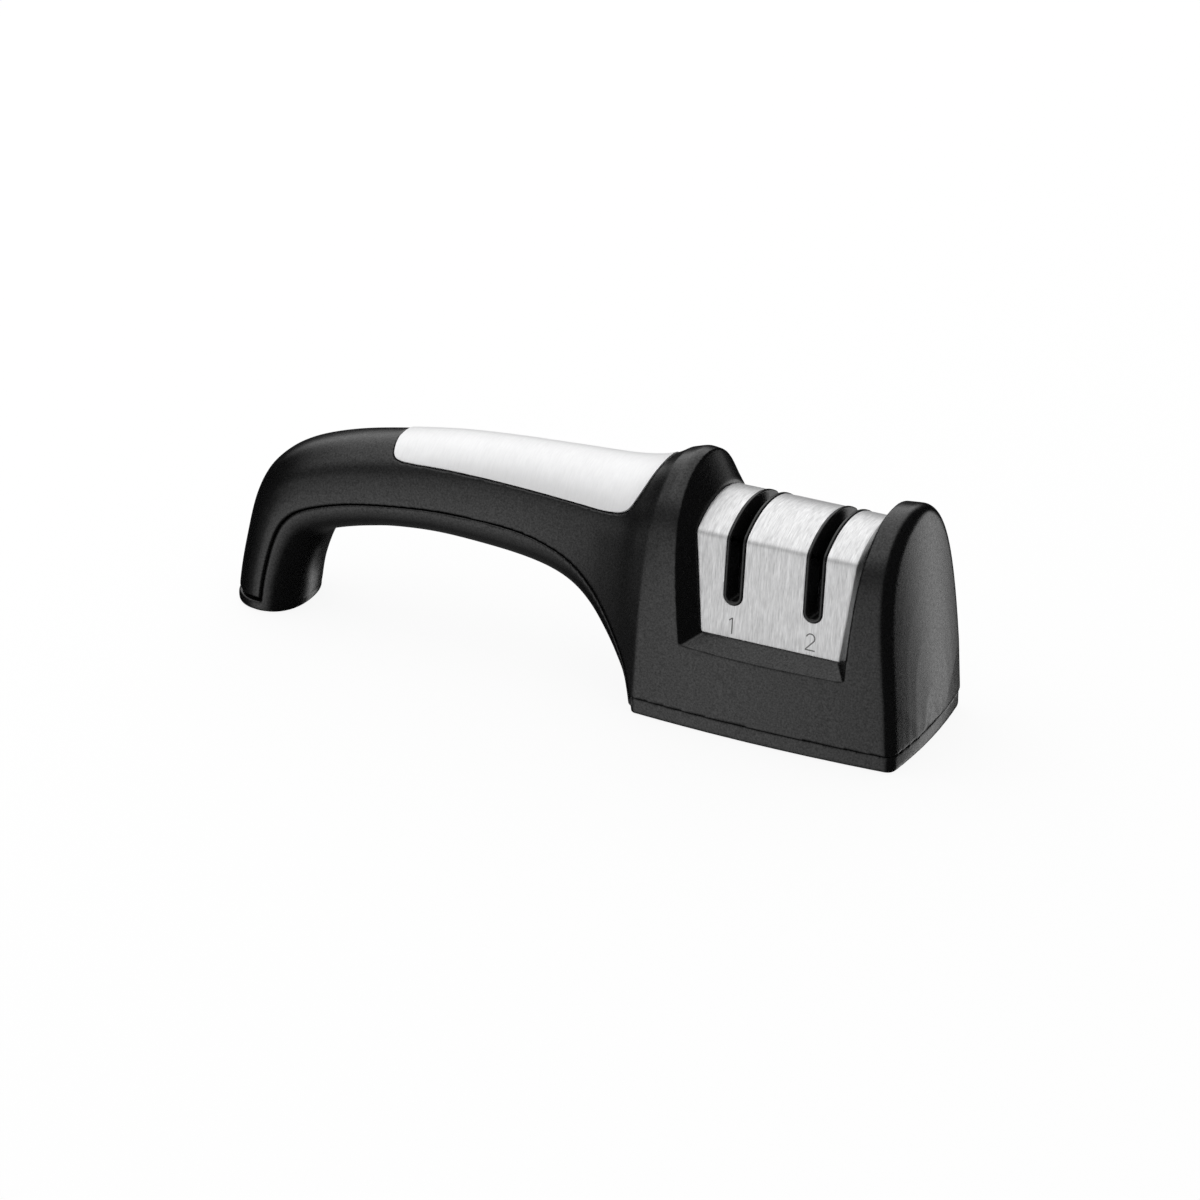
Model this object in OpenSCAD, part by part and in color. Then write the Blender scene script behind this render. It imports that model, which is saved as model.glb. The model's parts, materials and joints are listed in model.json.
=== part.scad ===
// Two-stage pull-through knife sharpener: a loop grip and a head with two slots,
// each over a pair of free-turning diamond wheels whose bevelled rims form a V.
// Origin: centre of the bounding box at table height. X runs from the grip to the
// end cap, Y across the knife slots' run, Z up.

/* [Overall] */
// Length from the heel of the grip to the end cap
overall_len = 207.5; // [195:1:220]
// Height of the taller ear above the table
overall_h = 71; // [69:0.5:76]
// Length of the head that houses the wheels
head_len = 78.6; // [76:0.2:84]
// Width of the head at its widest place
head_w = 48.4; // [47:0.2:54]

/* [Head shape] */
// How far the flanks stand out over the head's left corners
side_bulge = 1.9; // [0.5:0.1:2.5]
// How far the end cap stands out over its corners
end_bulge = 1.8; // [0.5:0.1:2.5]
// How far the end cap leans in towards the top
end_lean = 5.8; // [3:0.2:7]
// How far the crease at the grip leans in towards the top
crease_lean = 4.9; // [2:0.2:6]
// Radius of the rounded edge round the end cap
edge_round = 2.7; // [1.5:0.1:3]

/* [Shells] */
// Wall of the mouldings
wall = 2.2; // [1.6:0.1:2.6]
// Visible gap between two mouldings that meet
seam = 0.3; // [0.2:0.05:0.4]
// Half width of the grip
grip_half_w = 13.2; // [12:0.2:15]
// Height of the sole that closes the foot of the grip
sole_h = 3.2; // [2.4:0.2:4]
// Groove between the sole and the upper moulding
sole_groove = 1; // [0.6:0.1:1.4]
// Thickness of the stiffening ribs
rib_t = 1.6; // [1.2:0.1:2]

/* [Base] */
// Height at which the upper housing begins round the head
base_h = 5.4; // [4.8:0.1:7]
// Floor of the base
base_floor = 2.2; // [1.8:0.1:2.6]
// How far the base stays back from the upper housing's surface
base_inset = 0.6; // [0.2:0.05:0.8]
// Radius of the base's bottom edge
base_edge = 0.8; // [0.6:0.1:1.4]
// Thickness of the rubber pads
pad_t = 1.1; // [0.8:0.1:1.4]
// How far a pad stands out of its recess
pad_proud = 0.2; // [0.15:0.05:0.5]
// Margin between a pad and the edge of what holds it
pad_margin = 4.5; // [4:0.5:7]

/* [Steel cover] */
// How far the cover's crown lies below the taller ear
cover_drop = 10.4; // [8.5:0.1:11]
// Height of the crown over the crease between it and the flat flanks
crown_rise = 5.2; // [4.6:0.1:6.4]
// Height of the cover's lower edge
cover_sill_z = 28; // [27:0.1:30]
// Half width of the cover at its crease
cover_crease_y = 15; // [14.4:0.1:15.6]
// Half width of the cover at its lower edge
cover_sill_y = 18.6; // [18:0.1:19.4]
// Half length of the cover at its lower edge
cover_half_low = 20.1; // [19:0.1:21]
// Half length of the cover at its crown
cover_half_top = 23.2; // [22:0.1:24]
// Distance from the crease at the grip to the middle of the cover
cover_from_crease = 39; // [38.6:0.1:39.8]
// Thickness of the sheet steel
sheet_t = 0.8; // [0.6:0.1:1]
// Thickness of the adhesive under steel pieces
glue_t = 0.2; // [0.1:0.05:0.3]
// Thickness of the slot guide under the cover
guide_t = 1.5; // [1.2:0.1:1.8]
// Width of the guide's flange behind the housing
flange_w = 2.6; // [2:0.1:3]

/* [Grip inlay] */
// Thickness of the steel inlay
inlay_t = 0.7; // [0.5:0.1:0.9]
// How far the inlay stands out of the grip
inlay_proud = 0.25; // [0.1:0.05:0.3]
// Gap round the inlay
inlay_gap = 0.25; // [0.1:0.05:0.4]

/* [Window] */
// How far the window opens out past each end of the cover, at the sill
window_flare_low = 4.1; // [3.4:0.1:5]
// How far the window opens out past each end of the cover, at the crown
window_flare_top = 3.6; // [2.8:0.1:4.4]
// How far the window's middle lies towards the grip from the cover's
window_shift = 0.4; // [0:0.1:1.5]
// How far the window's lower edge on the flank lies below the cover's
window_sill_drop = 3.1; // [2:0.1:4]
// How far the place on the flank that the cover's crease looks out on lies above it
window_crease_lift = 3.6; // [2.6:0.2:4.6]

/* [Knife slots] */
// Distance between the two slots
slot_pitch = 23.1; // [22:0.1:24]
// Width of each slot in the steel
slot_w = 5.8; // [5.4:0.1:6.4]
// Wall of the black lip that lines each slot
lip_t = 1.2; // [1:0.05:1.3]
// How far the lip stands out of the steel
lip_proud = 0.25; // [0.15:0.05:0.7]
// Depth of the lip inside the steel
lip_depth = 6.5; // [5:0.1:7]
// Height of the slots' lower ends
slot_low_z = 36.9; // [36.2:0.1:38]
// Least gap between the lips and the wheels
lip_clear = 0.5; // [0.3:0.1:1]
// Play between a moving or fitted piece and its seat
fit_gap = 0.1; // [0.05:0.05:0.15]

/* [Wheels] */
// Radius of the diamond wheels
wheel_r = 10.2; // [9:0.1:10.6]
// Width of one wheel
wheel_w = 3.6; // [3:0.1:4]
// Angle of the wheel's bevel from the blade's plane
bevel_angle = 20; // [15:1:25]
// Depth of the V between two wheels
vee_depth = 3.8; // [3:0.1:4.5]
// Radius of the axle pins
axle_r = 2; // [1.6:0.1:2.4]
// Running clearance of a wheel on its axle
running_gap = 0.05; // [0.03:0.01:0.08]
// Radius of the hub sleeve between two wheels
hub_r = 3.6; // [3.2:0.1:4.2]
// Half of the gap between the two wheels of a pair
wheel_gap = 0.4; // [0.3:0.05:0.6]
// Thickness of the thrust washers
washer_t = 0.6; // [0.5:0.05:0.8]
// Side play on each face of a washer
side_play = 0.1; // [0.05:0.05:0.15]
// Thickness of the carrier's cheeks and plate
carrier_t = 2.4; // [2:0.1:2.6]
// Height of the pillars under the carrier
pillar_h = 8; // [6:0.5:9]
// How far the V's bottom lies above the slot's lower end
vee_above_slot = 2.6; // [2:0.1:3]

/* [Screws] */
// Radius of the screws' shanks
screw_r = 1.4; // [1.2:0.1:1.6]
// Radius of the screws' heads
screw_head_r = 2.7; // [2.4:0.1:2.9]
// Height of the screws' heads
screw_head_h = 1.5; // [1.2:0.1:1.6]
// Moulding between a screw's head and the joint that it closes
seat_t = 1.4; // [1.2:0.1:1.6]
// Wall of the bosses round the screws
boss_t = 1.8; // [1.4:0.1:2]
// Length of the screws in the base
base_screw_len = 12; // [10:1:14]
// Length of the screws in the grip
grip_screw_len = 12; // [10:1:14]
// Length of the screws in the carrier
carrier_screw_len = 8; // [7:0.5:9]

/* [Hidden] */

black = "#2b2b2c";
rubber = "#1a1a1a";
steel = "#c9cacb";
grit = "#8f9092";

// Overrun of every cut past the face that it opens
cut = 1;
// Points along half of a cross section
arc_points = 18;
// Steps between two stations of the grip
station_steps = 2;
$fn = 48;

half_len = overall_len / 2;
head_left = half_len - head_len;
grip_len = overall_len - head_len;
cover_top = overall_h - cover_drop;
cover_crease_z = cover_top - crown_rise;
window_half_low = cover_half_low + window_flare_low;
window_half_top = cover_half_top + window_flare_top;
window_sill_z = cover_sill_z - window_sill_drop;
window_crease_z = cover_crease_z + window_crease_lift;

// Powers of the cross sections: a fuller oval on the grip, a bullet on the head
grip_power = 2.3;
head_crown_power = 5;
head_flank_power = 2;
belly_power = 2.1;
// Power of the curve in which the end cap leans in
end_power = 1.25;
// Widest place of the head, as a share of its length
widest_share = 0.58;
// Crown height along the head: place along the head, then share of overall_h
crown_shares = [[0, 0.981], [0.06, 1], [0.13, 0.99], [0.5, 0.95], [0.87, 0.931], [1, 0.946]];
// Places of the head's cross sections along its length
head_shares = [0, 0.06, 0.13, 0.3, 0.5, 0.7, 0.87, 1];
// Rings that close the end cap, as shares of its outline
cap_shares = [0.88, 0.7, 0.5, 0.25];
// Directions in which the rounded edge of the end cap is sampled
edge_angles = [30, 60, 90];

// Stations of the grip from its foot to the head. Distances from the head are shares
// of grip_len and heights are shares of overall_h: crown x and z, parting line x and z,
// belly x and z. Then the half width over the grip's, and how far the cross section has
// changed from the grip's oval to the head's bullet.
grip_shares = [
    [1.001, 0.000, 0.918, 0.000, 0.843, 0.000, 1.000, 0.00],
    [0.991, 0.141, 0.907, 0.141, 0.830, 0.141, 1.000, 0.00],
    [0.976, 0.282, 0.888, 0.282, 0.809, 0.254, 1.000, 0.00],
    [0.955, 0.444, 0.865, 0.387, 0.791, 0.318, 1.000, 0.00],
    [0.928, 0.556, 0.837, 0.449, 0.776, 0.351, 1.000, 0.00],
    [0.893, 0.628, 0.809, 0.482, 0.758, 0.371, 1.000, 0.00],
    [0.848, 0.683, 0.781, 0.504, 0.737, 0.385, 1.000, 0.00],
    [0.791, 0.728, 0.743, 0.528, 0.708, 0.401, 0.995, 0.00],
    [0.716, 0.770, 0.689, 0.554, 0.667, 0.420, 0.990, 0.00],
    [0.616, 0.810, 0.609, 0.579, 0.601, 0.444, 0.985, 0.00],
    [0.500, 0.847, 0.500, 0.602, 0.500, 0.459, 0.995, 0.00],
    [0.384, 0.870, 0.384, 0.608, 0.384, 0.452, 1.015, 0.00],
    [0.283, 0.883, 0.287, 0.600, 0.291, 0.438, 1.060, 0.00],
    [0.205, 0.891, 0.213, 0.572, 0.221, 0.415, 1.130, 0.05],
    [0.147, 0.896, 0.159, 0.530, 0.169, 0.375, 1.205, 0.12],
    [0.101, 0.901, 0.115, 0.465, 0.126, 0.311, 1.290, 0.22],
    [0.062, 0.909, 0.079, 0.385, 0.088, 0.222, 1.385, 0.38],
    [0.029, 0.921, 0.047, 0.290, 0.054, 0.130, 1.485, 0.56],
    [-0.004, 0.943, 0.020, 0.183, 0.026, 0.035, 1.590, 0.80]
];
// The last station lies in the head's crease: belly x and z, from the same sizes
crease_belly_shares = [0.008, -0.127];

// Outline of the steel inlay: place along the grip, counted in rows of the table above,
// and the angle at which the inlay begins on the flank
inlay_outline_shares = [
    [9.03, 79], [9.06, 66], [9.12, 52], [9.26, 45.5], [9.6, 42], [10.1, 39.7], [11, 36.6],
    [12, 35], [13.3, 34.9], [14.7, 36.5], [15.7, 38], [16.4, 39.7], [16.96, 43.3],
    [17.32, 50.6], [17.63, 61.8], [17.84, 77], [17.9, 85]
];
inlay_arc_points = 12;

function row(rows, i) = rows[max(0, min(len(rows) - 1, i))];
function spline(a, b, c, d, t) =
    let (linear = c - a, square = 2 * a - 5 * b + 4 * c - d, cubic = 3 * b - a - 3 * c + d)
    (2 * b + linear * t + square * pow(t, 2) + cubic * pow(t, 3)) / 2;
function mix(a, b, t) = a + (b - a) * t;
function unit(v) = v / norm(v);

// Head outline
function head_half_w(u) = head_w / 2 - side_bulge * pow((u - widest_share) / widest_share, 2);
function head_top(u) = overall_h * lookup(u, crown_shares);
function left_face_x(z) = head_left + crease_lean * z / overall_h;
function right_face_x(y, z) = half_len - edge_round - end_bulge * pow(2 * y / head_w, 2)
    - end_lean * pow(max(z - base_h, 0) / (overall_h - base_h), end_power);
function head_x(u, y, z) = mix(left_face_x(z), right_face_x(y, z), u);
function head_ring(u, inset, push, size = 1) = [
    for (k = [0 : arc_points])
        let (
            angle = 180 * k / arc_points,
            y = size * (head_half_w(u) - inset) * cos(angle),
            z = size * (head_top(u) - inset) * pow(sin(angle), 2 / head_crown_power)
        )
        [head_x(u, y, z) + push, y, z]
];
function head_rings() = concat(
    [for (u = head_shares) head_ring(u, 0, 0)],
    [for (a = edge_angles) head_ring(1, edge_round * (1 - cos(a)), edge_round * sin(a))],
    [for (s = cap_shares) head_ring(1, edge_round, edge_round, s)]
);

// Grip stations in millimetres: crown, parting line and belly in the XZ plane,
// half width and share of the head's form
function to_station(s) = [
    head_left - grip_len * s[0], overall_h * s[1],
    head_left - grip_len * s[2], overall_h * s[3],
    head_left - grip_len * s[4], overall_h * s[5],
    grip_half_w * s[6], s[7]
];
crease_station = [
    left_face_x(head_top(0)), head_top(0), head_left, 0,
    head_left - grip_len * crease_belly_shares[0], overall_h * crease_belly_shares[1],
    head_half_w(0), 1
];
grip_rows = concat([for (s = grip_shares) to_station(s)], [crease_station]);
last_row = len(grip_rows) - 1;
// Cross section at any place along the grip, counted in rows
function station(i) =
    let (k = min(floor(i), last_row - 1))
    spline(
        row(grip_rows, k - 1), row(grip_rows, k), row(grip_rows, k + 1), row(grip_rows, k + 2), i - k
    );
stations = [for (k = [0 : last_row * station_steps]) station(k / station_steps)];
function crown(s) = [s[0], s[1]];
function parting(s) = [s[2], s[3]];
function belly(s) = [s[4], s[5]];
function axis_of(s) = unit(crown(s) - belly(s));
function place(p, y) = [p[0], y, p[1]];
function flank(angle, power) = sign(cos(angle)) * pow(abs(cos(angle)), 2 / power);
function rise(angle, power) = pow(abs(sin(angle)), 2 / power);

// Width of the ring that runs into the head, as a share of the last section's
join_share = 0.98;

// Upper and lower halves of a grip section. inset moves the surface inwards.
function upper_point(s, angle, inset) =
    let (
        top = crown(s) - inset * axis_of(s),
        y = (s[6] - inset) * flank(angle, mix(grip_power, head_flank_power, s[7])),
        r = rise(angle, mix(grip_power, head_crown_power, s[7]))
    )
    place(parting(s) + (top - parting(s)) * r, y);
function lower_point(s, angle, inset, drop) =
    let (
        start = parting(s) - drop * axis_of(s),
        low = belly(s) + inset * axis_of(s),
        y = (s[6] - inset) * flank(angle, mix(grip_power, belly_power, s[7])),
        r = rise(angle, mix(grip_power, belly_power, s[7]))
    )
    place(start + (low - start) * r, y);
function angles(first, last, count) = [for (k = [0 : count]) first + (last - first) * k / count];
function upper_arc(s, inset) = [for (a = angles(0, 180, arc_points)) upper_point(s, a, inset)];
function lower_arc(s, inset, drop) =
    [for (a = angles(180, 360, arc_points)) lower_point(s, a, inset, drop)];
function past_parting(s, y) = place(parting(s) - cut * axis_of(s), y);
function full_ring(s) = concat(upper_arc(s, 0), [
    for (k = [1 : arc_points - 1]) lower_point(s, 180 + 180 * k / arc_points, 0, 0)
]);

// Solid skinned over closed rings with the same number of points
module loft(rings) {
    n = len(rings[0]);
    m = len(rings);
    middle = [for (r = [rings[0], rings[m - 1]]) [for (p = r) 1] * r / n];
    points = concat([for (r = rings) each r], middle);
    sides = [
        for (i = [0 : m - 2], k = [0 : n - 1])
            let (a = i * n + k, b = i * n + (k + 1) % n)
            each [[a, b + n, b], [a, a + n, b + n]]
    ];
    ends = [
        for (k = [0 : n - 1])
            let (a = k, b = (k + 1) % n, e = (m - 1) * n)
            each [[a, b, m * n], [e + b, e + a, m * n + 1]]
    ];
    polyhedron(points = points, faces = concat(sides, ends), convexity = 6);
}

module head_form() {
    loft(head_rings());
}

// The rings run a little into the head, so that the two forms join
module grip_upper_form() {
    loft(concat([for (s = stations) upper_arc(s, 0)], [head_ring(0, seam, wall)]));
}
module grip_lower_form() {
    loft([for (s = stations) lower_arc(s, 0, seam)]);
}
module grip_form() {
    loft(concat(
        [for (s = stations) full_ring(s)],
        [[for (p = full_ring(crease_station)) [p[0] + wall, p[1] * join_share, p[2]]]]
    ));
}

// Room of the whole width between two heights, or up to a height between two places
module slab(low, high) {
    translate([-half_len - cut, -head_w, low])
        cube([overall_len + 2 * cut, 2 * head_w, high - low]);
}
module block(from_x, to_x, high) {
    translate([from_x, -head_w, -cut]) cube([to_x - from_x, 2 * head_w, high + cut]);
}
// Bar along X with an outline in Y and Z, and bar along Y with an outline in X and Z
module bar_x(from_x, to_x) {
    translate([from_x, 0, 0]) rotate([90, 0, 90]) linear_extrude(to_x - from_x) children();
}
module bar_y(half) {
    translate([0, half, 0]) rotate([90, 0, 0]) linear_extrude(2 * half) children();
}

// Steel cover: leaning flanks under an arched crown. inset counts from its face inwards.
cover_mid = head_left + cover_from_crease;
cover_crown_r = (pow(cover_crease_y, 2) + pow(crown_rise, 2)) / (2 * crown_rise);
cover_crown_z = cover_top - cover_crown_r;
cover_reach = asin(cover_crease_y / cover_crown_r);
cover_slope = (cover_sill_y - cover_crease_y) / (cover_crease_z - cover_sill_z);
function cover_flank_y(z) = cover_sill_y - cover_slope * (z - cover_sill_z);
module cover_bar(inset) {
    low = cover_flank_y(0) - inset;
    high = cover_flank_y(overall_h) - inset;
    intersection() {
        bar_x(head_left, half_len)
            polygon([[low, 0], [high, overall_h], [-high, overall_h], [-low, 0]]);
        union() {
            translate([head_left, 0, cover_crown_z]) rotate([0, 90, 0])
                cylinder(r = cover_crown_r - inset, h = head_len, $fn = 128);
            slab(0, cover_crown_z);
        }
    }
}
module cover_layer(outer, inner) {
    difference() {
        cover_bar(outer);
        cover_bar(inner);
    }
}
function cover_half(z) =
    mix(cover_half_low, cover_half_top, min(1, (z - cover_sill_z) / (cover_crease_z - cover_sill_z)));
// Extent of the cover along X and Z, widened by a margin
module cover_extent(margin) {
    low = cover_half_low + margin;
    top = cover_half_top + margin;
    translate([cover_mid, 0, 0]) bar_y(head_w) polygon([
        [-low, cover_sill_z - margin], [-top, cover_crease_z], [-top, overall_h + cut],
        [top, overall_h + cut], [top, cover_crease_z], [low, cover_sill_z - margin]
    ]);
}

// Knife slots, cut across the whole head, with round lower ends
slots = [cover_mid - slot_pitch / 2, cover_mid + slot_pitch / 2];
module slot_bar(width) {
    centre_z = slot_low_z + slot_w / 2;
    for (x = slots) {
        translate([x, head_w, centre_z]) rotate([90, 0, 0]) cylinder(d = width, h = 2 * head_w);
        translate([x - width / 2, -head_w, centre_z])
            cube([width, 2 * head_w, overall_h + cut - centre_z]);
    }
}

// Window: its bevelled walls run from the cover's edges out to the head's surface
window_mid = cover_mid - window_shift;
window_past_share = 0.35;
window_flank_shares = [0, 0.06, 0.2, 0.4, 0.6, 0.8, 1];
window_crown_steps = 10;
function head_share(x) = (x - head_left) / head_len;
function surface_y(x, z) =
    head_half_w(head_share(x)) * sqrt(1 - pow(z / head_top(head_share(x)), head_crown_power));
function surface_z(x, y) =
    head_top(head_share(x)) * pow(1 - pow(y / head_half_w(head_share(x)), 2), 1 / head_crown_power);
function window_half(z) =
    mix(window_half_low, window_half_top, (z - window_sill_z) / (window_crease_z - window_sill_z));
function run_past(from, to) = to + (to - from) * window_past_share;
function window_ring(left, right, out_left, out_right) =
    [left, run_past(left, out_left), run_past(right, out_right), right];
function window_flank_ring(share, way) =
    let (
        z = mix(cover_sill_z, cover_crease_z, share),
        out_z = mix(window_sill_z, window_crease_z, share),
        y = way * cover_flank_y(z),
        out_left = window_mid - window_half(out_z),
        out_right = window_mid + window_half(out_z)
    )
    window_ring(
        [cover_mid - cover_half(z) + seam, y, z],
        [cover_mid + cover_half(z) - seam, y, z],
        [out_left, way * surface_y(out_left, out_z), out_z],
        [out_right, way * surface_y(out_right, out_z), out_z]
    );
function window_crown_ring(angle) =
    let (
        y = cover_crown_r * sin(angle),
        z = cover_crown_z + cover_crown_r * cos(angle),
        out_left = window_mid - window_half_top,
        out_right = window_mid + window_half_top,
        left_y = y / cover_crease_y * surface_y(out_left, window_crease_z),
        right_y = y / cover_crease_y * surface_y(out_right, window_crease_z)
    )
    window_ring(
        [cover_mid - cover_half_top + seam, y, z],
        [cover_mid + cover_half_top - seam, y, z],
        [out_left, left_y, surface_z(out_left, left_y)],
        [out_right, right_y, surface_z(out_right, right_y)]
    );
module window_cut() {
    n = len(window_flank_shares) - 1;
    loft(concat(
        [for (s = window_flank_shares) window_flank_ring(s, -1)],
        [
            for (k = [1 : window_crown_steps - 1])
                window_crown_ring(cover_reach * (2 * k / window_crown_steps - 1))
        ],
        [for (k = [n : -1 : 0]) window_flank_ring(window_flank_shares[k], 1)]
    ));
}

// Layers under the cover's face
guide_top = sheet_t + glue_t;
guide_low = guide_top + guide_t;
flange_low = guide_low + guide_t;

// Inlay: a band of the grip's surface between two depths, widened by a margin
inlay_mid = (inlay_outline_shares[0][0] + inlay_outline_shares[len(inlay_outline_shares) - 1][0]) / 2;
function row_pitch(i) = norm(crown(station(i + 0.5)) - crown(station(i - 0.5)));
function inlay_place(i, margin) = i + sign(i - inlay_mid) * margin / row_pitch(i);
module inlay_band(inner, outer, margin) {
    loft([
        for (r = inlay_outline_shares)
            let (
                s = station(inlay_place(r[0], margin)),
                start = r[1] - atan(margin / s[6]),
                out = angles(start, 180 - start, inlay_arc_points),
                back = angles(180 - start, start, inlay_arc_points)
            )
            concat([for (a = out) upper_point(s, a, outer)], [for (a = back) upper_point(s, a, inner)])
    ]);
}
inlay_seat = inlay_t - inlay_proud;

// Outlines of the base round the head and of the sole under the grip's foot
module base_outline() {
    offset(delta = -base_inset) projection(cut = true) translate([0, 0, -base_h / 2])
        intersection() {
            union() {
                head_form();
                grip_form();
            }
            block(0, half_len + cut, overall_h);
        }
}
module sole_outline() {
    projection(cut = true) translate([0, 0, -sole_h / 2]) intersection() {
        grip_form();
        block(-half_len - cut, 0, overall_h);
    }
}
// Slab on the pads' level with a rounded bottom edge, up to a height
edge_steps = 2;
module footed(high) {
    translate([0, 0, pad_proud + base_edge]) linear_extrude(high - pad_proud - base_edge) children();
    for (k = [0 : edge_steps - 1])
        let (angle = 90 * (k + 0.5) / edge_steps, low = base_edge * (1 - cos(90 * k / edge_steps)))
        translate([0, 0, pad_proud + low]) linear_extrude(base_edge - low + seam)
            offset(delta = -base_edge * (1 - sin(angle))) children();
}

// Screw with its head on z = 0 and its shank upwards
driver_r_share = 0.5;
driver_depth_share = 0.6;
module screw(length) {
    difference() {
        union() {
            cylinder(r = screw_head_r, h = screw_head_h);
            translate([0, 0, screw_head_h]) cylinder(r = screw_r, h = length);
        }
        translate([0, 0, -cut])
            cylinder(
                r = screw_head_r * driver_r_share,
                h = cut + screw_head_h * driver_depth_share,
                $fn = 6
            );
    }
}
// Stepped hole for a screw that comes up from below, and where its head sits under a joint
module screw_hole(length) {
    translate([0, 0, -overall_h]) cylinder(r = screw_head_r + fit_gap, h = overall_h + screw_head_h);
    cylinder(r = screw_r + fit_gap, h = screw_head_h + length + cut);
}
function head_z(joint_z) = joint_z - seam - seat_t - screw_head_h;
boss_r = screw_r + boss_t;
seat_r = screw_head_r + boss_t;
tool_room = 0.6;
module at_sites(sites, z) {
    for (p = sites) translate([p[0], p[1], z]) children();
}

// Base screws come up through the base's floor into the upper housing
sill_wall_share = 1.4;
chamber_top = window_sill_z - wall * sill_wall_share;
base_screw_left = head_left + wall + seat_r;
base_screw_right = right_face_x(0, chamber_top) - seat_r;
base_screw_y = head_w / 2 - side_bulge - wall - seat_r - edge_round;
base_sites = [for (x = [base_screw_left, base_screw_right], way = [-1, 1]) [x, way * base_screw_y]];

// Grip screws stand upright at two places along the grip, counted in rows of its table,
// with ribs between them. The hollow ends at one of the steps between the stations.
grip_screw_shares = [9, 12];
function grip_joint_z(i) = parting(station(i))[1];
module at_grip_row(i, z) {
    translate([parting(station(i))[0], 0, z]) children();
}
rib_shares = [7, 10, 11, 13.5];
hollow_steps = 34;
hollow_places = [0 : station_steps : hollow_steps];
module grip_rib(i) {
    s = station(i);
    hull() for (way = [-1, 1])
        translate([s[2], way * s[6], 0]) cylinder(d = rib_t, h = overall_h, $fn = 32);
}

// Head's inside: a chamber, a pocket in each ear, and room for the guide under the window
ear_pocket_top = window_crease_z - wall / 2;
room_half = cover_half_top + flange_w + 2 * fit_gap;
module head_inside() {
    intersection() {
        loft([for (u = head_shares) head_ring(u, wall, mix(wall, edge_round - wall, u))]);
        union() {
            slab(-cut, chamber_top);
            block(head_left, window_mid - window_half_top - wall, ear_pocket_top);
            block(window_mid + window_half_top + wall, half_len, ear_pocket_top);
        }
    }
    intersection() {
        cover_bar(guide_low - fit_gap);
        block(cover_mid - room_half, cover_mid + room_half, overall_h);
    }
}

// Wheel sets: places along and about each axle
floor_z = pad_proud + base_floor;
carrier_z = floor_z + pillar_h;
plate_top = carrier_z + carrier_t;
vee_r = wheel_r - vee_depth;
axle_z = slot_low_z + vee_above_slot - vee_r;
collar_r = (hub_r + vee_r) / 2;
bore_r = axle_r + running_gap;
hub_half = wheel_gap + wheel_w;
cheek_in = hub_half + 2 * side_play + washer_t;
cheek_out = cheek_in + carrier_t;
cheek_r = axle_r + 3 * wall / 2;
cheek_foot = cheek_r + wall;
clip_t = 0.5;
clip_rim = 1.3;
clip_groove = 0.4;
clip_r = axle_r + clip_rim;
clip_seat_r = axle_r - clip_groove;
clip_mouth_share = 1.5;
clip_x = cheek_out + fit_gap + clip_t / 2;
axle_tip = 0.9;
axle_half = clip_x + clip_t / 2 + axle_tip;

// Carrier's plate, the guide's legs that stand on it and the screws that hold it
leg_w = 4;
leg_outer = cover_sill_y - guide_low;
leg_right = cover_half_low - fit_gap;
plate_half_x = max(leg_right, slot_pitch / 2 + axle_half) + tool_room;
plate_half_y = leg_outer + tool_room;
carrier_screw_x = leg_right - leg_w - screw_head_r - tool_room;
carrier_screw_y = cheek_foot + screw_head_r + tool_room;
carrier_sites = [
    for (x = [-1, 1], y = [-1, 1]) [cover_mid + x * carrier_screw_x, y * carrier_screw_y]
];
glue_back = 1.5;

module housing_boss() {
    cylinder(r = boss_r, h = chamber_top + wall - base_h);
}
module housing_gusset(way) {
    hull() for (y = [0, head_w / 2 - base_screw_y])
        translate([0, way * y, 0]) cylinder(d = rib_t, h = chamber_top + wall - base_h, $fn = 32);
}
module upper_housing() {
    color(black) difference() {
        union() {
            difference() {
                union() {
                    head_form();
                    grip_upper_form();
                }
                loft([for (k = hollow_places) let (s = stations[k]) concat(
                    upper_arc(s, wall),
                    [past_parting(s, wall - s[6]), past_parting(s, s[6] - wall)]
                )]);
                head_inside();
            }
            intersection() {
                grip_upper_form();
                union() {
                    for (i = rib_shares) grip_rib(i);
                    for (i = grip_screw_shares) at_grip_row(i, 0) cylinder(r = boss_r, h = overall_h);
                }
            }
            intersection() {
                head_form();
                for (p = base_sites) translate([p[0], p[1], base_h]) {
                    housing_boss();
                    housing_gusset(sign(p[1]));
                }
            }
        }
        window_cut();
        cover_extent(0);
        inlay_band(inlay_seat + glue_t + fit_gap, -cut, inlay_gap);
        at_sites(base_sites, head_z(base_h)) screw_hole(base_screw_len);
        for (i = grip_screw_shares)
            at_grip_row(i, head_z(grip_joint_z(i))) screw_hole(grip_screw_len);
        block(0, half_len + cut, base_h);
        slab(-cut, sole_h + sole_groove);
    }
}

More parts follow.
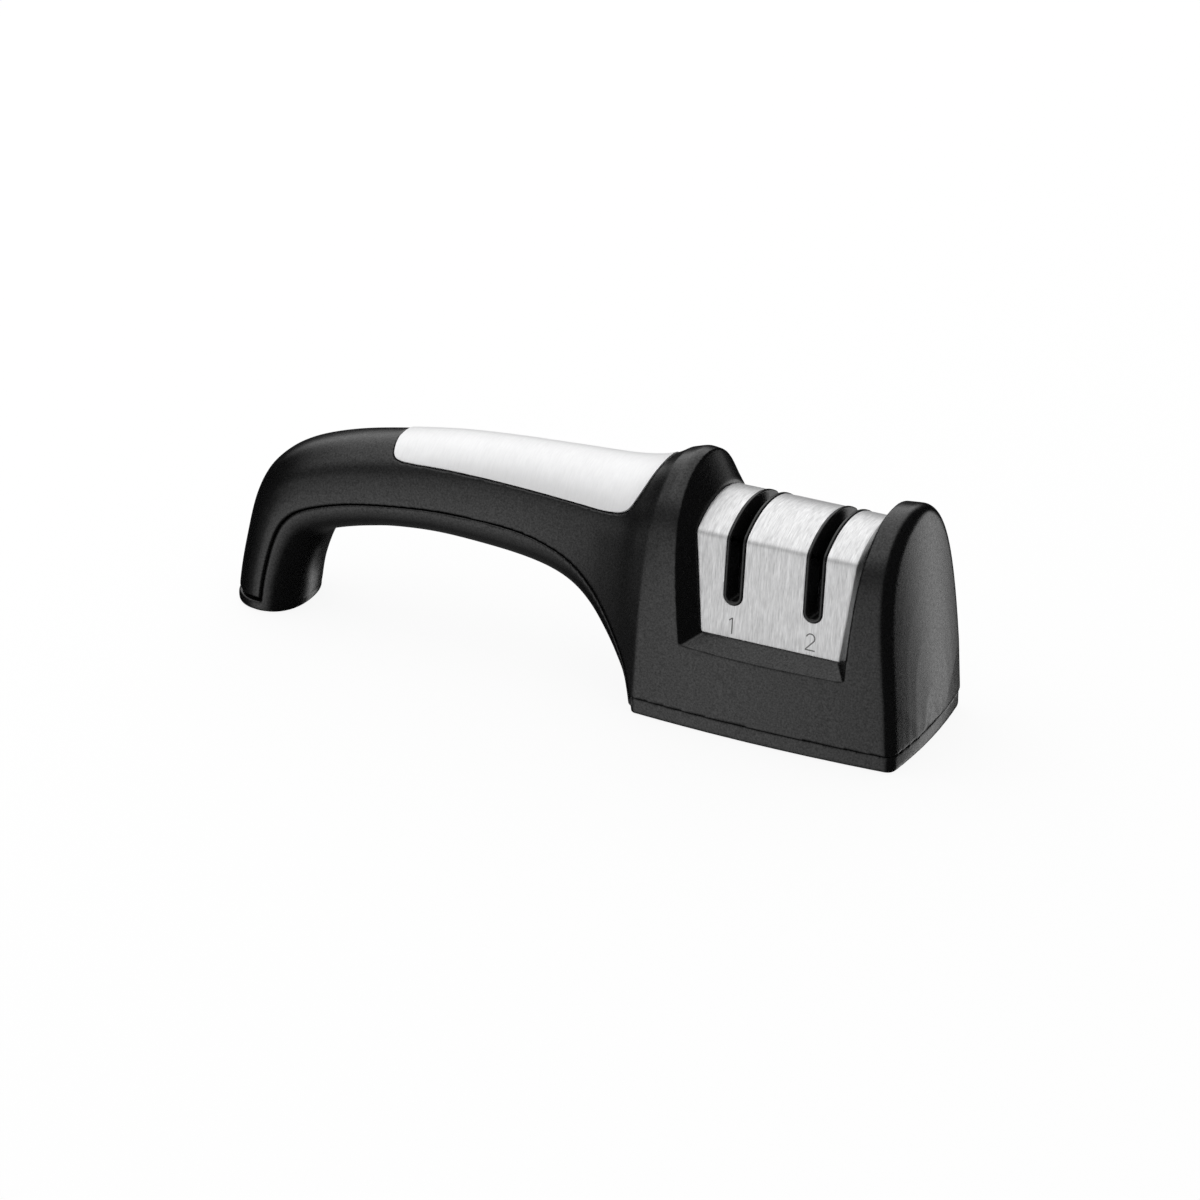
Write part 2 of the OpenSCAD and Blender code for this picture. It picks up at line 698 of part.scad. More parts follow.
module pillar(way) {
    cylinder(r = boss_r, h = carrier_z - pad_proud);
    hull() for (y = [0, pillar_h])
        translate([0, way * y, 0])
            cylinder(d = rib_t, h = carrier_z - pad_proud - y + tool_room, $fn = 32);
}
module pad_shape(gap) {
    offset(delta = gap - pad_margin) children();
}
module lower_housing() {
    color(black) difference() {
        union() {
            intersection() {
                union() {
                    difference() {
                        grip_lower_form();
                        loft([for (k = hollow_places) lower_arc(stations[k], wall, -cut)]);
                    }
                    intersection() {
                        grip_lower_form();
                        union() {
                            for (i = rib_shares) grip_rib(i);
                            for (i = grip_screw_shares)
                                at_grip_row(i, 0) cylinder(r = seat_r, h = overall_h);
                        }
                    }
                }
                slab(base_h / 2, overall_h);
            }
            footed(sole_h) sole_outline();
            difference() {
                footed(base_h - seam) base_outline();
                translate([0, 0, floor_z]) linear_extrude(base_h) offset(delta = -wall) base_outline();
            }
            at_sites(base_sites, pad_proud) cylinder(r = seat_r, h = base_h - seam - pad_proud);
            for (p = carrier_sites) translate([p[0], p[1], pad_proud]) pillar(sign(p[1]));
        }
        at_sites(base_sites, head_z(base_h)) screw_hole(base_screw_len);
        for (i = grip_screw_shares)
            at_grip_row(i, head_z(grip_joint_z(i))) screw_hole(grip_screw_len);
        at_sites(carrier_sites, plate_top - carrier_screw_len - cut)
            cylinder(r = screw_r + fit_gap, h = overall_h);
        translate([0, 0, -cut]) linear_extrude(cut + pad_t) {
            pad_shape(fit_gap) base_outline();
            pad_shape(fit_gap) sole_outline();
        }
    }
}

module base_pad() {
    color(rubber) difference() {
        linear_extrude(pad_t) pad_shape(0) base_outline();
        at_sites(base_sites, -cut) cylinder(r = screw_head_r + fit_gap, h = pad_t + 2 * cut);
    }
}
module foot_pad() {
    color(rubber) linear_extrude(pad_t) pad_shape(0) sole_outline();
}

module grip_inlay() {
    color(steel) inlay_band(inlay_seat, -inlay_proud, 0);
}
// Mirrored, so that its face is split into the same triangles as the inlay's back
module inlay_adhesive() {
    color(rubber) mirror([0, 1, 0]) inlay_band(inlay_seat + glue_t, inlay_seat, 0);
}

module steel_cover() {
    color(steel) difference() {
        intersection() {
            cover_layer(0, sheet_t);
            cover_extent(-fit_gap);
        }
        slot_bar(slot_w);
    }
}
module cover_adhesive() {
    color(rubber) difference() {
        intersection() {
            cover_layer(sheet_t, guide_top);
            cover_extent(-glue_back);
        }
        slot_bar(slot_w + 2 * glue_back);
    }
}
module slot_guide() {
    color(black) difference() {
        union() {
            intersection() {
                cover_layer(guide_top, flange_low);
                cover_extent(-fit_gap);
            }
            intersection() {
                cover_layer(guide_low, flange_low);
                cover_extent(flange_w);
            }
            intersection() {
                cover_layer(-lip_proud, lip_depth);
                slot_bar(slot_w - 2 * fit_gap);
            }
            for (x = [-leg_right, leg_right - leg_w], y = [-leg_outer, leg_outer - leg_w])
                translate([cover_mid + x, y, plate_top + fit_gap])
                    cube([leg_w, leg_w, cover_sill_z + leg_w - plate_top]);
        }
        slot_bar(slot_w - 2 * lip_t);
        for (x = slots) on_axle(x) cylinder(r = wheel_r + lip_clear, h = slot_w, center = true);
    }
}

module cheek(from_x) {
    bar_x(from_x, from_x + carrier_t) polygon([
        [-cheek_foot, carrier_z], [cheek_foot, carrier_z], [cheek_r, axle_z], [-cheek_r, axle_z]
    ]);
    translate([from_x, 0, axle_z]) rotate([0, 90, 0]) cylinder(r = cheek_r, h = carrier_t);
}
module wheel_carrier() {
    color(black) difference() {
        union() {
            translate([cover_mid - plate_half_x, -plate_half_y, carrier_z])
                cube([2 * plate_half_x, 2 * plate_half_y, carrier_t]);
            for (x = slots) {
                cheek(x + cheek_in);
                cheek(x - cheek_out);
            }
        }
        for (x = slots) translate([x, 0, axle_z]) rotate([0, 90, 0])
            cylinder(r = axle_r, h = 2 * (cheek_out + cut), center = true);
        at_sites(carrier_sites, carrier_z - cut)
            cylinder(r = screw_r + fit_gap, h = carrier_t + 2 * cut);
    }
}
module carrier_screws() {
    color(steel) at_sites(carrier_sites, plate_top + screw_head_h)
        rotate([180, 0, 0]) screw(carrier_screw_len);
}
module base_screws() {
    color(steel) at_sites(base_sites, head_z(base_h)) screw(base_screw_len);
}
module grip_screws() {
    color(steel) for (i = grip_screw_shares)
        at_grip_row(i, head_z(grip_joint_z(i))) screw(grip_screw_len);
}

// Pieces on an axle, drawn about its middle with the axle along X
module on_axle(x) {
    translate([x, 0, axle_z]) rotate([0, 90, 0]) children();
}
module axle() {
    difference() {
        cylinder(r = axle_r, h = 2 * axle_half, center = true);
        for (way = [-1, 1]) translate([0, 0, way * clip_x]) difference() {
            cylinder(r = axle_r + cut, h = clip_t, center = true);
            cylinder(r = clip_seat_r, h = clip_t + cut, center = true);
        }
    }
}
module clip() {
    difference() {
        cylinder(r = clip_r, h = clip_t, center = true);
        cylinder(r = clip_seat_r, h = clip_t + cut, center = true);
        translate([0, -clip_seat_r * clip_mouth_share / 2, -clip_t])
            cube([clip_r + cut, clip_seat_r * clip_mouth_share, 2 * clip_t]);
    }
}
module axle_clips() {
    color(steel) for (x = slots, way = [-1, 1]) on_axle(x) translate([0, 0, way * clip_x]) clip();
}
module wheel(way) {
    rim_gap = wheel_gap + vee_depth * tan(bevel_angle);
    color(grit) mirror([0, 0, way < 0 ? 1 : 0]) rotate_extrude() polygon([
        [hub_r, wheel_gap], [vee_r, wheel_gap], [wheel_r, rim_gap],
        [wheel_r, hub_half], [hub_r, hub_half]
    ]);
}
module hub() {
    color(rubber) rotate_extrude() polygon([
        [bore_r, -hub_half], [hub_r, -hub_half], [hub_r, -wheel_gap], [collar_r, -wheel_gap],
        [collar_r, wheel_gap], [hub_r, wheel_gap], [hub_r, hub_half], [bore_r, hub_half]
    ]);
}
module washers() {
    color(steel) for (way = [-1, 1]) translate([0, 0, way * (hub_half + side_play + washer_t / 2)])
        difference() {
            cylinder(r = hub_r, h = washer_t, center = true);
            cylinder(r = bore_r, h = washer_t + cut, center = true);
        }
}
module coarse_axle() {
    color(steel) on_axle(slots[0]) axle();
}
module coarse_wheel_left() {
    on_axle(slots[0]) wheel(-1);
}
module coarse_wheel_right() {
    on_axle(slots[0]) wheel(1);
}
module coarse_hub() {
    on_axle(slots[0]) hub();
}
module coarse_washers() {
    on_axle(slots[0]) washers();
}
module fine_axle() {
    color(steel) on_axle(slots[1]) axle();
}
module fine_wheel_left() {
    on_axle(slots[1]) wheel(-1);
}
module fine_wheel_right() {
    on_axle(slots[1]) wheel(1);
}
module fine_hub() {
    on_axle(slots[1]) hub();
}
module fine_washers() {
    on_axle(slots[1]) washers();
}

upper_housing();
lower_housing();
base_pad();
foot_pad();
grip_inlay();
inlay_adhesive();
steel_cover();
cover_adhesive();
slot_guide();
wheel_carrier();
carrier_screws();
base_screws();
grip_screws();
axle_clips();
coarse_axle();
coarse_wheel_left();
coarse_wheel_right();
coarse_hub();
coarse_washers();
fine_axle();
fine_wheel_left();
fine_wheel_right();
fine_hub();
fine_washers();
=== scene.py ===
"""Looks of the two-stage pull-through knife sharpener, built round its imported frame."""
import json
import math
import bmesh
import bpy
import numpy as np
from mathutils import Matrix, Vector
from mathutils.kdtree import KDTree


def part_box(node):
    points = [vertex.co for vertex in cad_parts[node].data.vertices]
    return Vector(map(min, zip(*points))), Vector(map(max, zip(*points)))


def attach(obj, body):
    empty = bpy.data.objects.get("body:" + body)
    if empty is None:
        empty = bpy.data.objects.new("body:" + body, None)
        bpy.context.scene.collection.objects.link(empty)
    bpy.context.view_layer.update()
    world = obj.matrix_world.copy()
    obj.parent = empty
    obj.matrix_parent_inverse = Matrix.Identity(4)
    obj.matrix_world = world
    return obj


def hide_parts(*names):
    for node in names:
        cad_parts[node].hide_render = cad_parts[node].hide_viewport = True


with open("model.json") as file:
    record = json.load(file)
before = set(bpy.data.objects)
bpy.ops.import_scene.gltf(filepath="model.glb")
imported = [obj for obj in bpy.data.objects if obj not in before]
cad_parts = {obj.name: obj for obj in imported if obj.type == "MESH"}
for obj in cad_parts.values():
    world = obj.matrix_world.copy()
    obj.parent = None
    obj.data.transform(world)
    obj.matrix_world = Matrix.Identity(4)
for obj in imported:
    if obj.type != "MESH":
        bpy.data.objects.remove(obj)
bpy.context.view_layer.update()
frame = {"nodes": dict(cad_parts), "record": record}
nodes = frame["nodes"]
MM = 0.001

# Sizes of the part in millimetres, as its source has them
OVERALL_LEN, OVERALL_H, HEAD_LEN, HEAD_W = 207.5, 71.0, 78.6, 48.4
SIDE_BULGE, END_BULGE, END_LEAN, CREASE_LEAN, EDGE_ROUND = 1.9, 1.8, 5.8, 4.9, 2.7
WALL, SEAM, GRIP_HALF_W, SOLE_H, SOLE_GROOVE = 2.2, 0.3, 13.2, 3.2, 1.0
BASE_H, BASE_FLOOR, BASE_INSET, BASE_EDGE = 5.4, 2.2, 0.6, 0.8
PAD_T, PAD_PROUD, PAD_MARGIN = 1.1, 0.2, 4.5
COVER_TOP, COVER_CREASE_Z, COVER_SILL_Z = 60.6, 55.4, 28.0
COVER_CREASE_Y, COVER_SILL_Y, COVER_HALF_LOW, COVER_HALF_TOP = 15.0, 18.6, 20.1, 23.2
COVER_FROM_CREASE, SHEET_T, GLUE_T, GUIDE_T, FLANGE_W = 39.0, 0.8, 0.2, 1.5, 2.6
INLAY_T, INLAY_PROUD, INLAY_GAP = 0.7, 0.25, 0.25
WINDOW_HALF_LOW, WINDOW_HALF_TOP, WINDOW_SHIFT = 24.2, 26.8, 0.4
WINDOW_SILL_Z, WINDOW_CREASE_Z = 24.9, 59.0
SLOT_PITCH, SLOT_W, LIP_T, LIP_PROUD, LIP_DEPTH, SLOT_LOW_Z = 23.1, 5.8, 1.2, 0.25, 6.5, 36.9
FIT_GAP, SCREW_R, SCREW_HEAD_R, SCREW_HEAD_H, SEAT_T, BOSS_T = 0.1, 1.4, 2.7, 1.5, 1.4, 1.8
GUIDE_LEG = 4
# Rows of the table below at which the grip's hollow ends and its screws stand
HOLLOW_END, GRIP_SCREW_ROWS = 17, (9, 12)
# Thickness of the ceiling under the window, as a share of the wall
CEILING_SHARE = 1.4
# Sizes of this script's own: depth of the screw holes past the heads, the grip's bosses, seats and
# holes, the inlay's soft edge, end of the cut over the sole, rise of two cutters over what they cut
BASE_HOLE_DEEP, GRIP_HOLE_DEEP, GRIP_BOSS_H, GRIP_SEAT_H, GRIP_HOLE_DROP = 13, 8, 9, 12, 14
INLAY_SOFT, FOOT_END_X, HOLLOW_RISE, POCKET_RISE = 0.3, 1, 1.0, 1.0

HALF_LEN = OVERALL_LEN / 2
HEAD_LEFT = HALF_LEN - HEAD_LEN
GRIP_LEN = OVERALL_LEN - HEAD_LEN
COVER_MID = HEAD_LEFT + COVER_FROM_CREASE
WINDOW_MID = COVER_MID - WINDOW_SHIFT
SLOTS = [COVER_MID - SLOT_PITCH / 2, COVER_MID + SLOT_PITCH / 2]
FLOOR_Z = PAD_PROUD + BASE_FLOOR
CHAMBER_TOP = WINDOW_SILL_Z - WALL * CEILING_SHARE
# Overrun of what cuts past a surface, of the base's cutters, and of the window's as a share of its depth
PAST, BASE_PAST, WINDOW_PAST = 5, 1, 0.35

GRIP_POWER, HEAD_CROWN_POWER, HEAD_FLANK_POWER, BELLY_POWER, END_POWER = 2.3, 5.0, 2.0, 2.1, 1.25
WIDEST_SHARE = 0.58
CROWN_SHARES = [(0, 0.981), (0.06, 1), (0.13, 0.99), (0.5, 0.95), (0.87, 0.931), (1, 0.946)]
# Stations of the grip: crown, parting line and belly, half width, share of the head's form
GRIP_SHARES = [
    (1.001, 0.000, 0.918, 0.000, 0.843, 0.000, 1.000, 0.00),
    (0.991, 0.141, 0.907, 0.141, 0.830, 0.141, 1.000, 0.00),
    (0.976, 0.282, 0.888, 0.282, 0.809, 0.254, 1.000, 0.00),
    (0.955, 0.444, 0.865, 0.387, 0.791, 0.318, 1.000, 0.00),
    (0.928, 0.556, 0.837, 0.449, 0.776, 0.351, 1.000, 0.00),
    (0.893, 0.628, 0.809, 0.482, 0.758, 0.371, 1.000, 0.00),
    (0.848, 0.683, 0.781, 0.504, 0.737, 0.385, 1.000, 0.00),
    (0.791, 0.728, 0.743, 0.528, 0.708, 0.401, 0.995, 0.00),
    (0.716, 0.770, 0.689, 0.554, 0.667, 0.420, 0.990, 0.00),
    (0.616, 0.810, 0.609, 0.579, 0.601, 0.444, 0.985, 0.00),
    (0.500, 0.847, 0.500, 0.602, 0.500, 0.459, 0.995, 0.00),
    (0.384, 0.870, 0.384, 0.608, 0.384, 0.452, 1.015, 0.00),
    (0.283, 0.883, 0.287, 0.600, 0.291, 0.438, 1.060, 0.00),
    (0.205, 0.891, 0.213, 0.572, 0.221, 0.415, 1.130, 0.05),
    (0.147, 0.896, 0.159, 0.530, 0.169, 0.375, 1.205, 0.12),
    (0.101, 0.901, 0.115, 0.465, 0.126, 0.311, 1.290, 0.22),
    (0.062, 0.909, 0.079, 0.385, 0.088, 0.222, 1.385, 0.38),
    (0.029, 0.921, 0.047, 0.290, 0.054, 0.130, 1.485, 0.56),
    (-0.004, 0.943, 0.020, 0.183, 0.026, 0.035, 1.590, 0.80),
]
CREASE_BELLY_SHARES = (0.008, -0.127)
# Outline of the inlay: row of the table above, and angle at which it begins on the flank
INLAY_ROWS = [
    (9.03, 79), (9.06, 66), (9.12, 52), (9.26, 45.5), (9.6, 42), (10.1, 39.7), (11, 36.6),
    (12, 35), (13.3, 34.9), (14.7, 36.5), (15.7, 38), (16.4, 39.7), (16.96, 43.3),
    (17.32, 50.6), (17.63, 61.8), (17.84, 77), (17.9, 85),
]

# Fineness of the moulded shells
ARC = 60
STATION_STEPS = 8
HEAD_STATIONS, ROOM_STATIONS, WINDOW_STEPS, CROWN_STEPS = 49, 13, 25, 33
EDGE_DEGREES = np.linspace(10, 90, 9)
CAP_SHARES = (0.94, 0.85, 0.7, 0.5, 0.25)
INLAY_STEPS, INLAY_COLUMNS = 97, 40
ROD_SIDES, HOLE_SIDES = 32, 24
VOXEL = 0.36
MOST_FACES = 190_000
# Outlines of the base and the sole. The heel of the base follows the grip's belly from a row on.
BASE_POINTS, BASE_RING_POINTS, SOLE_RING_POINTS, ROW_SAMPLES, FOOT_EDGE_STEPS = 60, 420, 180, 400, 8
CORNER_DEGREES = np.linspace(6, 90, 15)
HEEL_ROW, HEEL_DEGREES = 17.6, (186, 354)
# Rounds of softening, and how far each vertex moves towards its neighbours' mean in one
SOFT_ROUNDS, SOFT_STEP = 8, 0.5
# Reach of the crisp edges, the share of the softening that they still get, and points along them
CRISP_REACH, INLAY_CRISP, JOINT_CRISP, CREASE_CRISP = 1.6, 0.15, 0.45, 0.35
PARTING_POINTS, FLANK_POINTS, CAP_POINTS, CREASE_POINTS = 700, 160, 120, 240
RIM_SIDE_POINTS, RIM_END_POINTS = 100, 140
# Largest angle that is shaded smooth, in degrees
SMOOTH_ANGLE, INLAY_SMOOTH_ANGLE = 35, 40


# Sections
def head_half_w(u):
    return HEAD_W / 2 - SIDE_BULGE * ((u - WIDEST_SHARE) / WIDEST_SHARE) ** 2


def head_top(u):
    places, shares = zip(*CROWN_SHARES)
    return OVERALL_H * np.interp(u, places, shares)


def left_face_x(z):
    return HEAD_LEFT + CREASE_LEAN * z / OVERALL_H


def right_face_x(y, z):
    lean = (np.maximum(z - BASE_H, 0) / (OVERALL_H - BASE_H)) ** END_POWER
    return HALF_LEN - EDGE_ROUND - END_BULGE * (2 * y / HEAD_W) ** 2 - END_LEAN * lean


def head_ring(u, inset=0.0, push=0.0, size=1.0, count=ARC):
    angle = np.linspace(0, math.pi, count + 1)
    y = size * (head_half_w(u) - inset) * np.cos(angle)
    z = size * (head_top(u) - inset) * np.abs(np.sin(angle)) ** (2 / HEAD_CROWN_POWER)
    x = left_face_x(z) * (1 - u) + right_face_x(y, z) * u
    return np.stack([x + push, y, z], 1)


def surface_y(x, z):
    u = (x - HEAD_LEFT) / HEAD_LEN
    return head_half_w(u) * np.sqrt(1 - (z / head_top(u)) ** HEAD_CROWN_POWER)


def surface_z(x, y):
    u = (x - HEAD_LEFT) / HEAD_LEN
    return head_top(u) * (1 - (y / head_half_w(u)) ** 2) ** (1 / HEAD_CROWN_POWER)


def table_of_stations():
    rows = [
        (HEAD_LEFT - GRIP_LEN * s[0], OVERALL_H * s[1], HEAD_LEFT - GRIP_LEN * s[2], OVERALL_H * s[3],
         HEAD_LEFT - GRIP_LEN * s[4], OVERALL_H * s[5], GRIP_HALF_W * s[6], s[7])
        for s in GRIP_SHARES
    ]
    top = head_top(0.0)
    rows.append((left_face_x(top), top, HEAD_LEFT, 0, HEAD_LEFT - GRIP_LEN * CREASE_BELLY_SHARES[0],
                 OVERALL_H * CREASE_BELLY_SHARES[1], head_half_w(0.0), 1))
    return np.array(rows, float)


ROWS = table_of_stations()
LAST_ROW = len(ROWS) - 1


def spline(table, at):
    """Rows of a table at any places between its rows, by a Catmull-Rom spline."""
    at = np.atleast_1d(np.asarray(at, float))
    k = np.minimum(np.floor(at).astype(int), len(table) - 2)
    a, b, c, d = (table[np.clip(k + j, 0, len(table) - 1)] for j in (-1, 0, 1, 2))
    t = (at - k)[:, None]
    return (2 * b + (c - a) * t + (2 * a - 5 * b + 4 * c - d) * t ** 2 + (3 * b - a - 3 * c + d) * t ** 3) / 2


def section_points(at, degrees, inset=0.0, drop=0.0, lower=False):
    """Points of the grip's upper or lower surface. at and degrees are arrays that broadcast."""
    at, degrees = np.broadcast_arrays(np.asarray(at, float), np.asarray(degrees, float))
    s = spline(ROWS, at.ravel()).reshape(at.shape + (8,))
    crown, parting, belly = s[..., 0:2], s[..., 2:4], s[..., 4:6]
    axis = crown - belly
    axis = axis / np.linalg.norm(axis, axis=-1, keepdims=True)
    share = s[..., 7]
    radians = np.radians(degrees)
    cos, sin = np.cos(radians), np.abs(np.sin(radians))
    flank_power = GRIP_POWER + ((BELLY_POWER if lower else HEAD_FLANK_POWER) - GRIP_POWER) * share
    rise_power = GRIP_POWER + ((BELLY_POWER if lower else HEAD_CROWN_POWER) - GRIP_POWER) * share
    y = (s[..., 6] - inset) * np.sign(cos) * np.abs(cos) ** (2 / flank_power)
    rise = (sin ** (2 / rise_power))[..., None]
    if lower:
        start, end = parting - drop * axis, belly + inset * axis
    else:
        start, end = parting, crown - inset * axis
    p = start + (end - start) * rise
    return np.stack([p[..., 0], y, p[..., 1]], -1)


# Meshes
def new_object(name, points, faces):
    mesh = bpy.data.meshes.new(name)
    mesh.from_pydata((np.asarray(points, float) * MM).tolist(), [], faces)
    mesh.validate()
    obj = bpy.data.objects.new(name, mesh)
    bpy.context.scene.collection.objects.link(obj)
    return obj


def loft(name, rings):
    """Closed solid skinned over rings with the same number of points, all turning the same way."""
    rings = np.asarray(rings, float)
    m, n = rings.shape[:2]
    points = np.concatenate([rings.reshape(-1, 3), rings[[0, -1]].mean(1)])
    i, k = np.meshgrid(np.arange(m - 1), np.arange(n), indexing="ij")
    a = (i * n + k).ravel()
    b = (i * n + (k + 1) % n).ravel()
    faces = np.stack([a, a + n, b + n, b], 1).tolist()
    for k in range(n):
        after = (k + 1) % n
        faces.append([k, after, m * n])
        faces.append([(m - 1) * n + after, (m - 1) * n + k, m * n + 1])
    obj = new_object(name, points, faces)
    face_out(obj.data)
    return obj


def tube(name, rings):
    """Closed skin over a loop of rings."""
    rings = np.asarray(rings, float)
    m, n = rings.shape[:2]
    i, k = np.meshgrid(np.arange(m), np.arange(n), indexing="ij")
    a, b = (i * n + k).ravel(), (i * n + (k + 1) % n).ravel()
    c, d = (((i + 1) % m) * n + k).ravel(), (((i + 1) % m) * n + (k + 1) % n).ravel()
    obj = new_object(name, rings.reshape(-1, 3), np.stack([a, c, d, b], 1).tolist())
    face_out(obj.data)
    return obj


def face_out(mesh):
    bm = bmesh.new()
    bm.from_mesh(mesh)
    bmesh.ops.recalc_face_normals(bm, faces=bm.faces)
    bm.to_mesh(mesh)
    bm.free()


def remove(obj):
    mesh = obj.data
    bpy.data.objects.remove(obj)
    bpy.data.meshes.remove(mesh)


def bake(obj):
    """Applies all modifiers."""
    graph = bpy.context.evaluated_depsgraph_get()
    mesh = bpy.data.meshes.new_from_object(obj.evaluated_get(graph))
    old = obj.data
    obj.modifiers.clear()
    obj.data = mesh
    bpy.data.meshes.remove(old)
    return obj


def combine(obj, others, how):
    for other in others:
        step = obj.modifiers.new(how, "BOOLEAN")
        step.operation, step.object, step.solver = how, other, "MANIFOLD"
    bake(obj)
    for other in others:
        remove(other)
    return obj


def box_between(name, low, high):
    x, y, z = zip(low, high)
    points = [(x[i], y[j], z[k]) for i in (0, 1) for j in (0, 1) for k in (0, 1)]
    faces = [(0, 1, 3, 2), (4, 6, 7, 5), (0, 4, 5, 1), (2, 3, 7, 6), (0, 2, 6, 4), (1, 5, 7, 3)]
    obj = new_object(name, points, faces)
    face_out(obj.data)
    return obj


def rod(name, x, y, low, high, radius, count=ROD_SIDES):
    angle = np.linspace(0, 2 * math.pi, count, endpoint=False)
    ring = np.stack([x + radius * np.cos(angle), y + radius * np.sin(angle), np.zeros(count)], 1)
    return loft(name, [ring + [0, 0, low], ring + [0, 0, high]])


def relax(mesh, weight):
    """Rounds the edges of an even mesh by moving each vertex towards its neighbours' mean."""
    count = len(mesh.vertices)
    co = np.empty(count * 3)
    mesh.vertices.foreach_get("co", co)
    co = co.reshape(-1, 3)
    edges = np.empty(len(mesh.edges) * 2, int)
    mesh.edges.foreach_get("vertices", edges)
    a, b = edges.reshape(-1, 2).T
    degree = np.bincount(a, minlength=count) + np.bincount(b, minlength=count)
    share = (SOFT_STEP * weight)[:, None]
    for _ in range(SOFT_ROUNDS):
        mean = np.stack([
            np.bincount(a, co[b, j], count) + np.bincount(b, co[a, j], count) for j in range(3)
        ], 1) / degree[:, None]
        co = co + (mean - co) * share
    mesh.vertices.foreach_set("co", co.ravel())
    mesh.update()


def mould(obj, *crisp):
    """Turns a solid into one even skin with soft edges. crisp holds pairs of points and the share of
    the softening that the edges near them still get."""
    skin = obj.modifiers.new("skin", "REMESH")
    skin.mode, skin.voxel_size, skin.adaptivity = "VOXEL", VOXEL * MM, 0.0
    bake(obj)
    weight = np.ones(len(obj.data.vertices))
    for points, least in crisp:
        tree = KDTree(len(points))
        for i, p in enumerate(points):
            tree.insert(Vector(p) * MM, i)
        tree.balance()
        far = np.array([tree.find(v.co)[2] for v in obj.data.vertices]) / MM
        weight = np.minimum(weight, np.clip(far / CRISP_REACH, least, 1))
    relax(obj.data, weight)
    faces = 2 * len(obj.data.polygons)
    if faces > MOST_FACES:
        thin = obj.modifiers.new("thin", "DECIMATE")
        thin.ratio = MOST_FACES / faces
        bake(obj)
    obj.data.polygons.foreach_set("use_smooth", np.ones(len(obj.data.polygons), bool))
    obj.data.update()
    return obj


def join(obj, *others):
    bm = bmesh.new()
    bm.from_mesh(obj.data)
    for other in others:
        bm.from_mesh(other.data)
        remove(other)
    bm.to_mesh(obj.data)
    bm.free()
    return obj


def soften(obj, width, segments, degrees):
    """Bevels the edges that turn by more than an angle."""
    soft = obj.modifiers.new("soft", "BEVEL")
    soft.width, soft.segments, soft.limit_method = width * MM, segments, "ANGLE"
    soft.angle_limit = math.radians(degrees)
    return bake(obj)


def smooth_by_angle(obj, degrees):
    mesh = obj.data
    mesh.polygons.foreach_set("use_smooth", np.ones(len(mesh.polygons), bool))
    mesh.set_sharp_from_angle(angle=math.radians(degrees))
    return obj


# Moulded shells
def head_solid():
    rings = [head_ring(u) for u in np.linspace(0, 1, HEAD_STATIONS)]
    for a in np.radians(EDGE_DEGREES):
        rings.append(head_ring(1.0, EDGE_ROUND * (1 - math.cos(a)), EDGE_ROUND * math.sin(a)))
    rings += [head_ring(1.0, EDGE_ROUND, EDGE_ROUND, s) for s in CAP_SHARES]
    return loft("head", rings)


def grip_upper_solid(inset=0.0, past=False, last=LAST_ROW):
    at = np.linspace(0, last, LAST_ROW * STATION_STEPS + 1)[:, None]
    rings = section_points(at, np.linspace(0, 180, ARC + 1)[None], inset)
    if past:
        s = spline(ROWS, at.ravel())
        axis = s[:, 0:2] - s[:, 4:6]
        low = s[:, 2:4] - axis / np.linalg.norm(axis, axis=1, keepdims=True)
        edge = [np.stack([low[:, 0], way * (s[:, 6] - inset), low[:, 1]], 1) for way in (-1, 1)]
        return loft("upper_hollow", np.concatenate([rings, np.stack(edge, 1)], 1))
    return loft("upper_grip", np.concatenate([rings, head_ring(0.0, SEAM, WALL)[None]]))


def grip_lower_solid(inset=0.0, drop=SEAM, last=LAST_ROW):
    at = np.linspace(0, last, LAST_ROW * STATION_STEPS + 1)[:, None]
    return loft("lower_grip", section_points(at, np.linspace(180, 360, ARC + 1)[None], inset, drop, True))


def cover_flank_y(z):
    slope = (COVER_SILL_Y - COVER_CREASE_Y) / (COVER_CREASE_Z - COVER_SILL_Z)
    return COVER_SILL_Y - slope * (z - COVER_SILL_Z)


CROWN_R = (COVER_CREASE_Y ** 2 + (COVER_TOP - COVER_CREASE_Z) ** 2) / (2 * (COVER_TOP - COVER_CREASE_Z))
CROWN_Z = COVER_TOP - CROWN_R
CROWN_REACH = math.asin(COVER_CREASE_Y / CROWN_R)


def cover_half(z):
    share = np.minimum(1, (z - COVER_SILL_Z) / (COVER_CREASE_Z - COVER_SILL_Z))
    return COVER_HALF_LOW + (COVER_HALF_TOP - COVER_HALF_LOW) * share


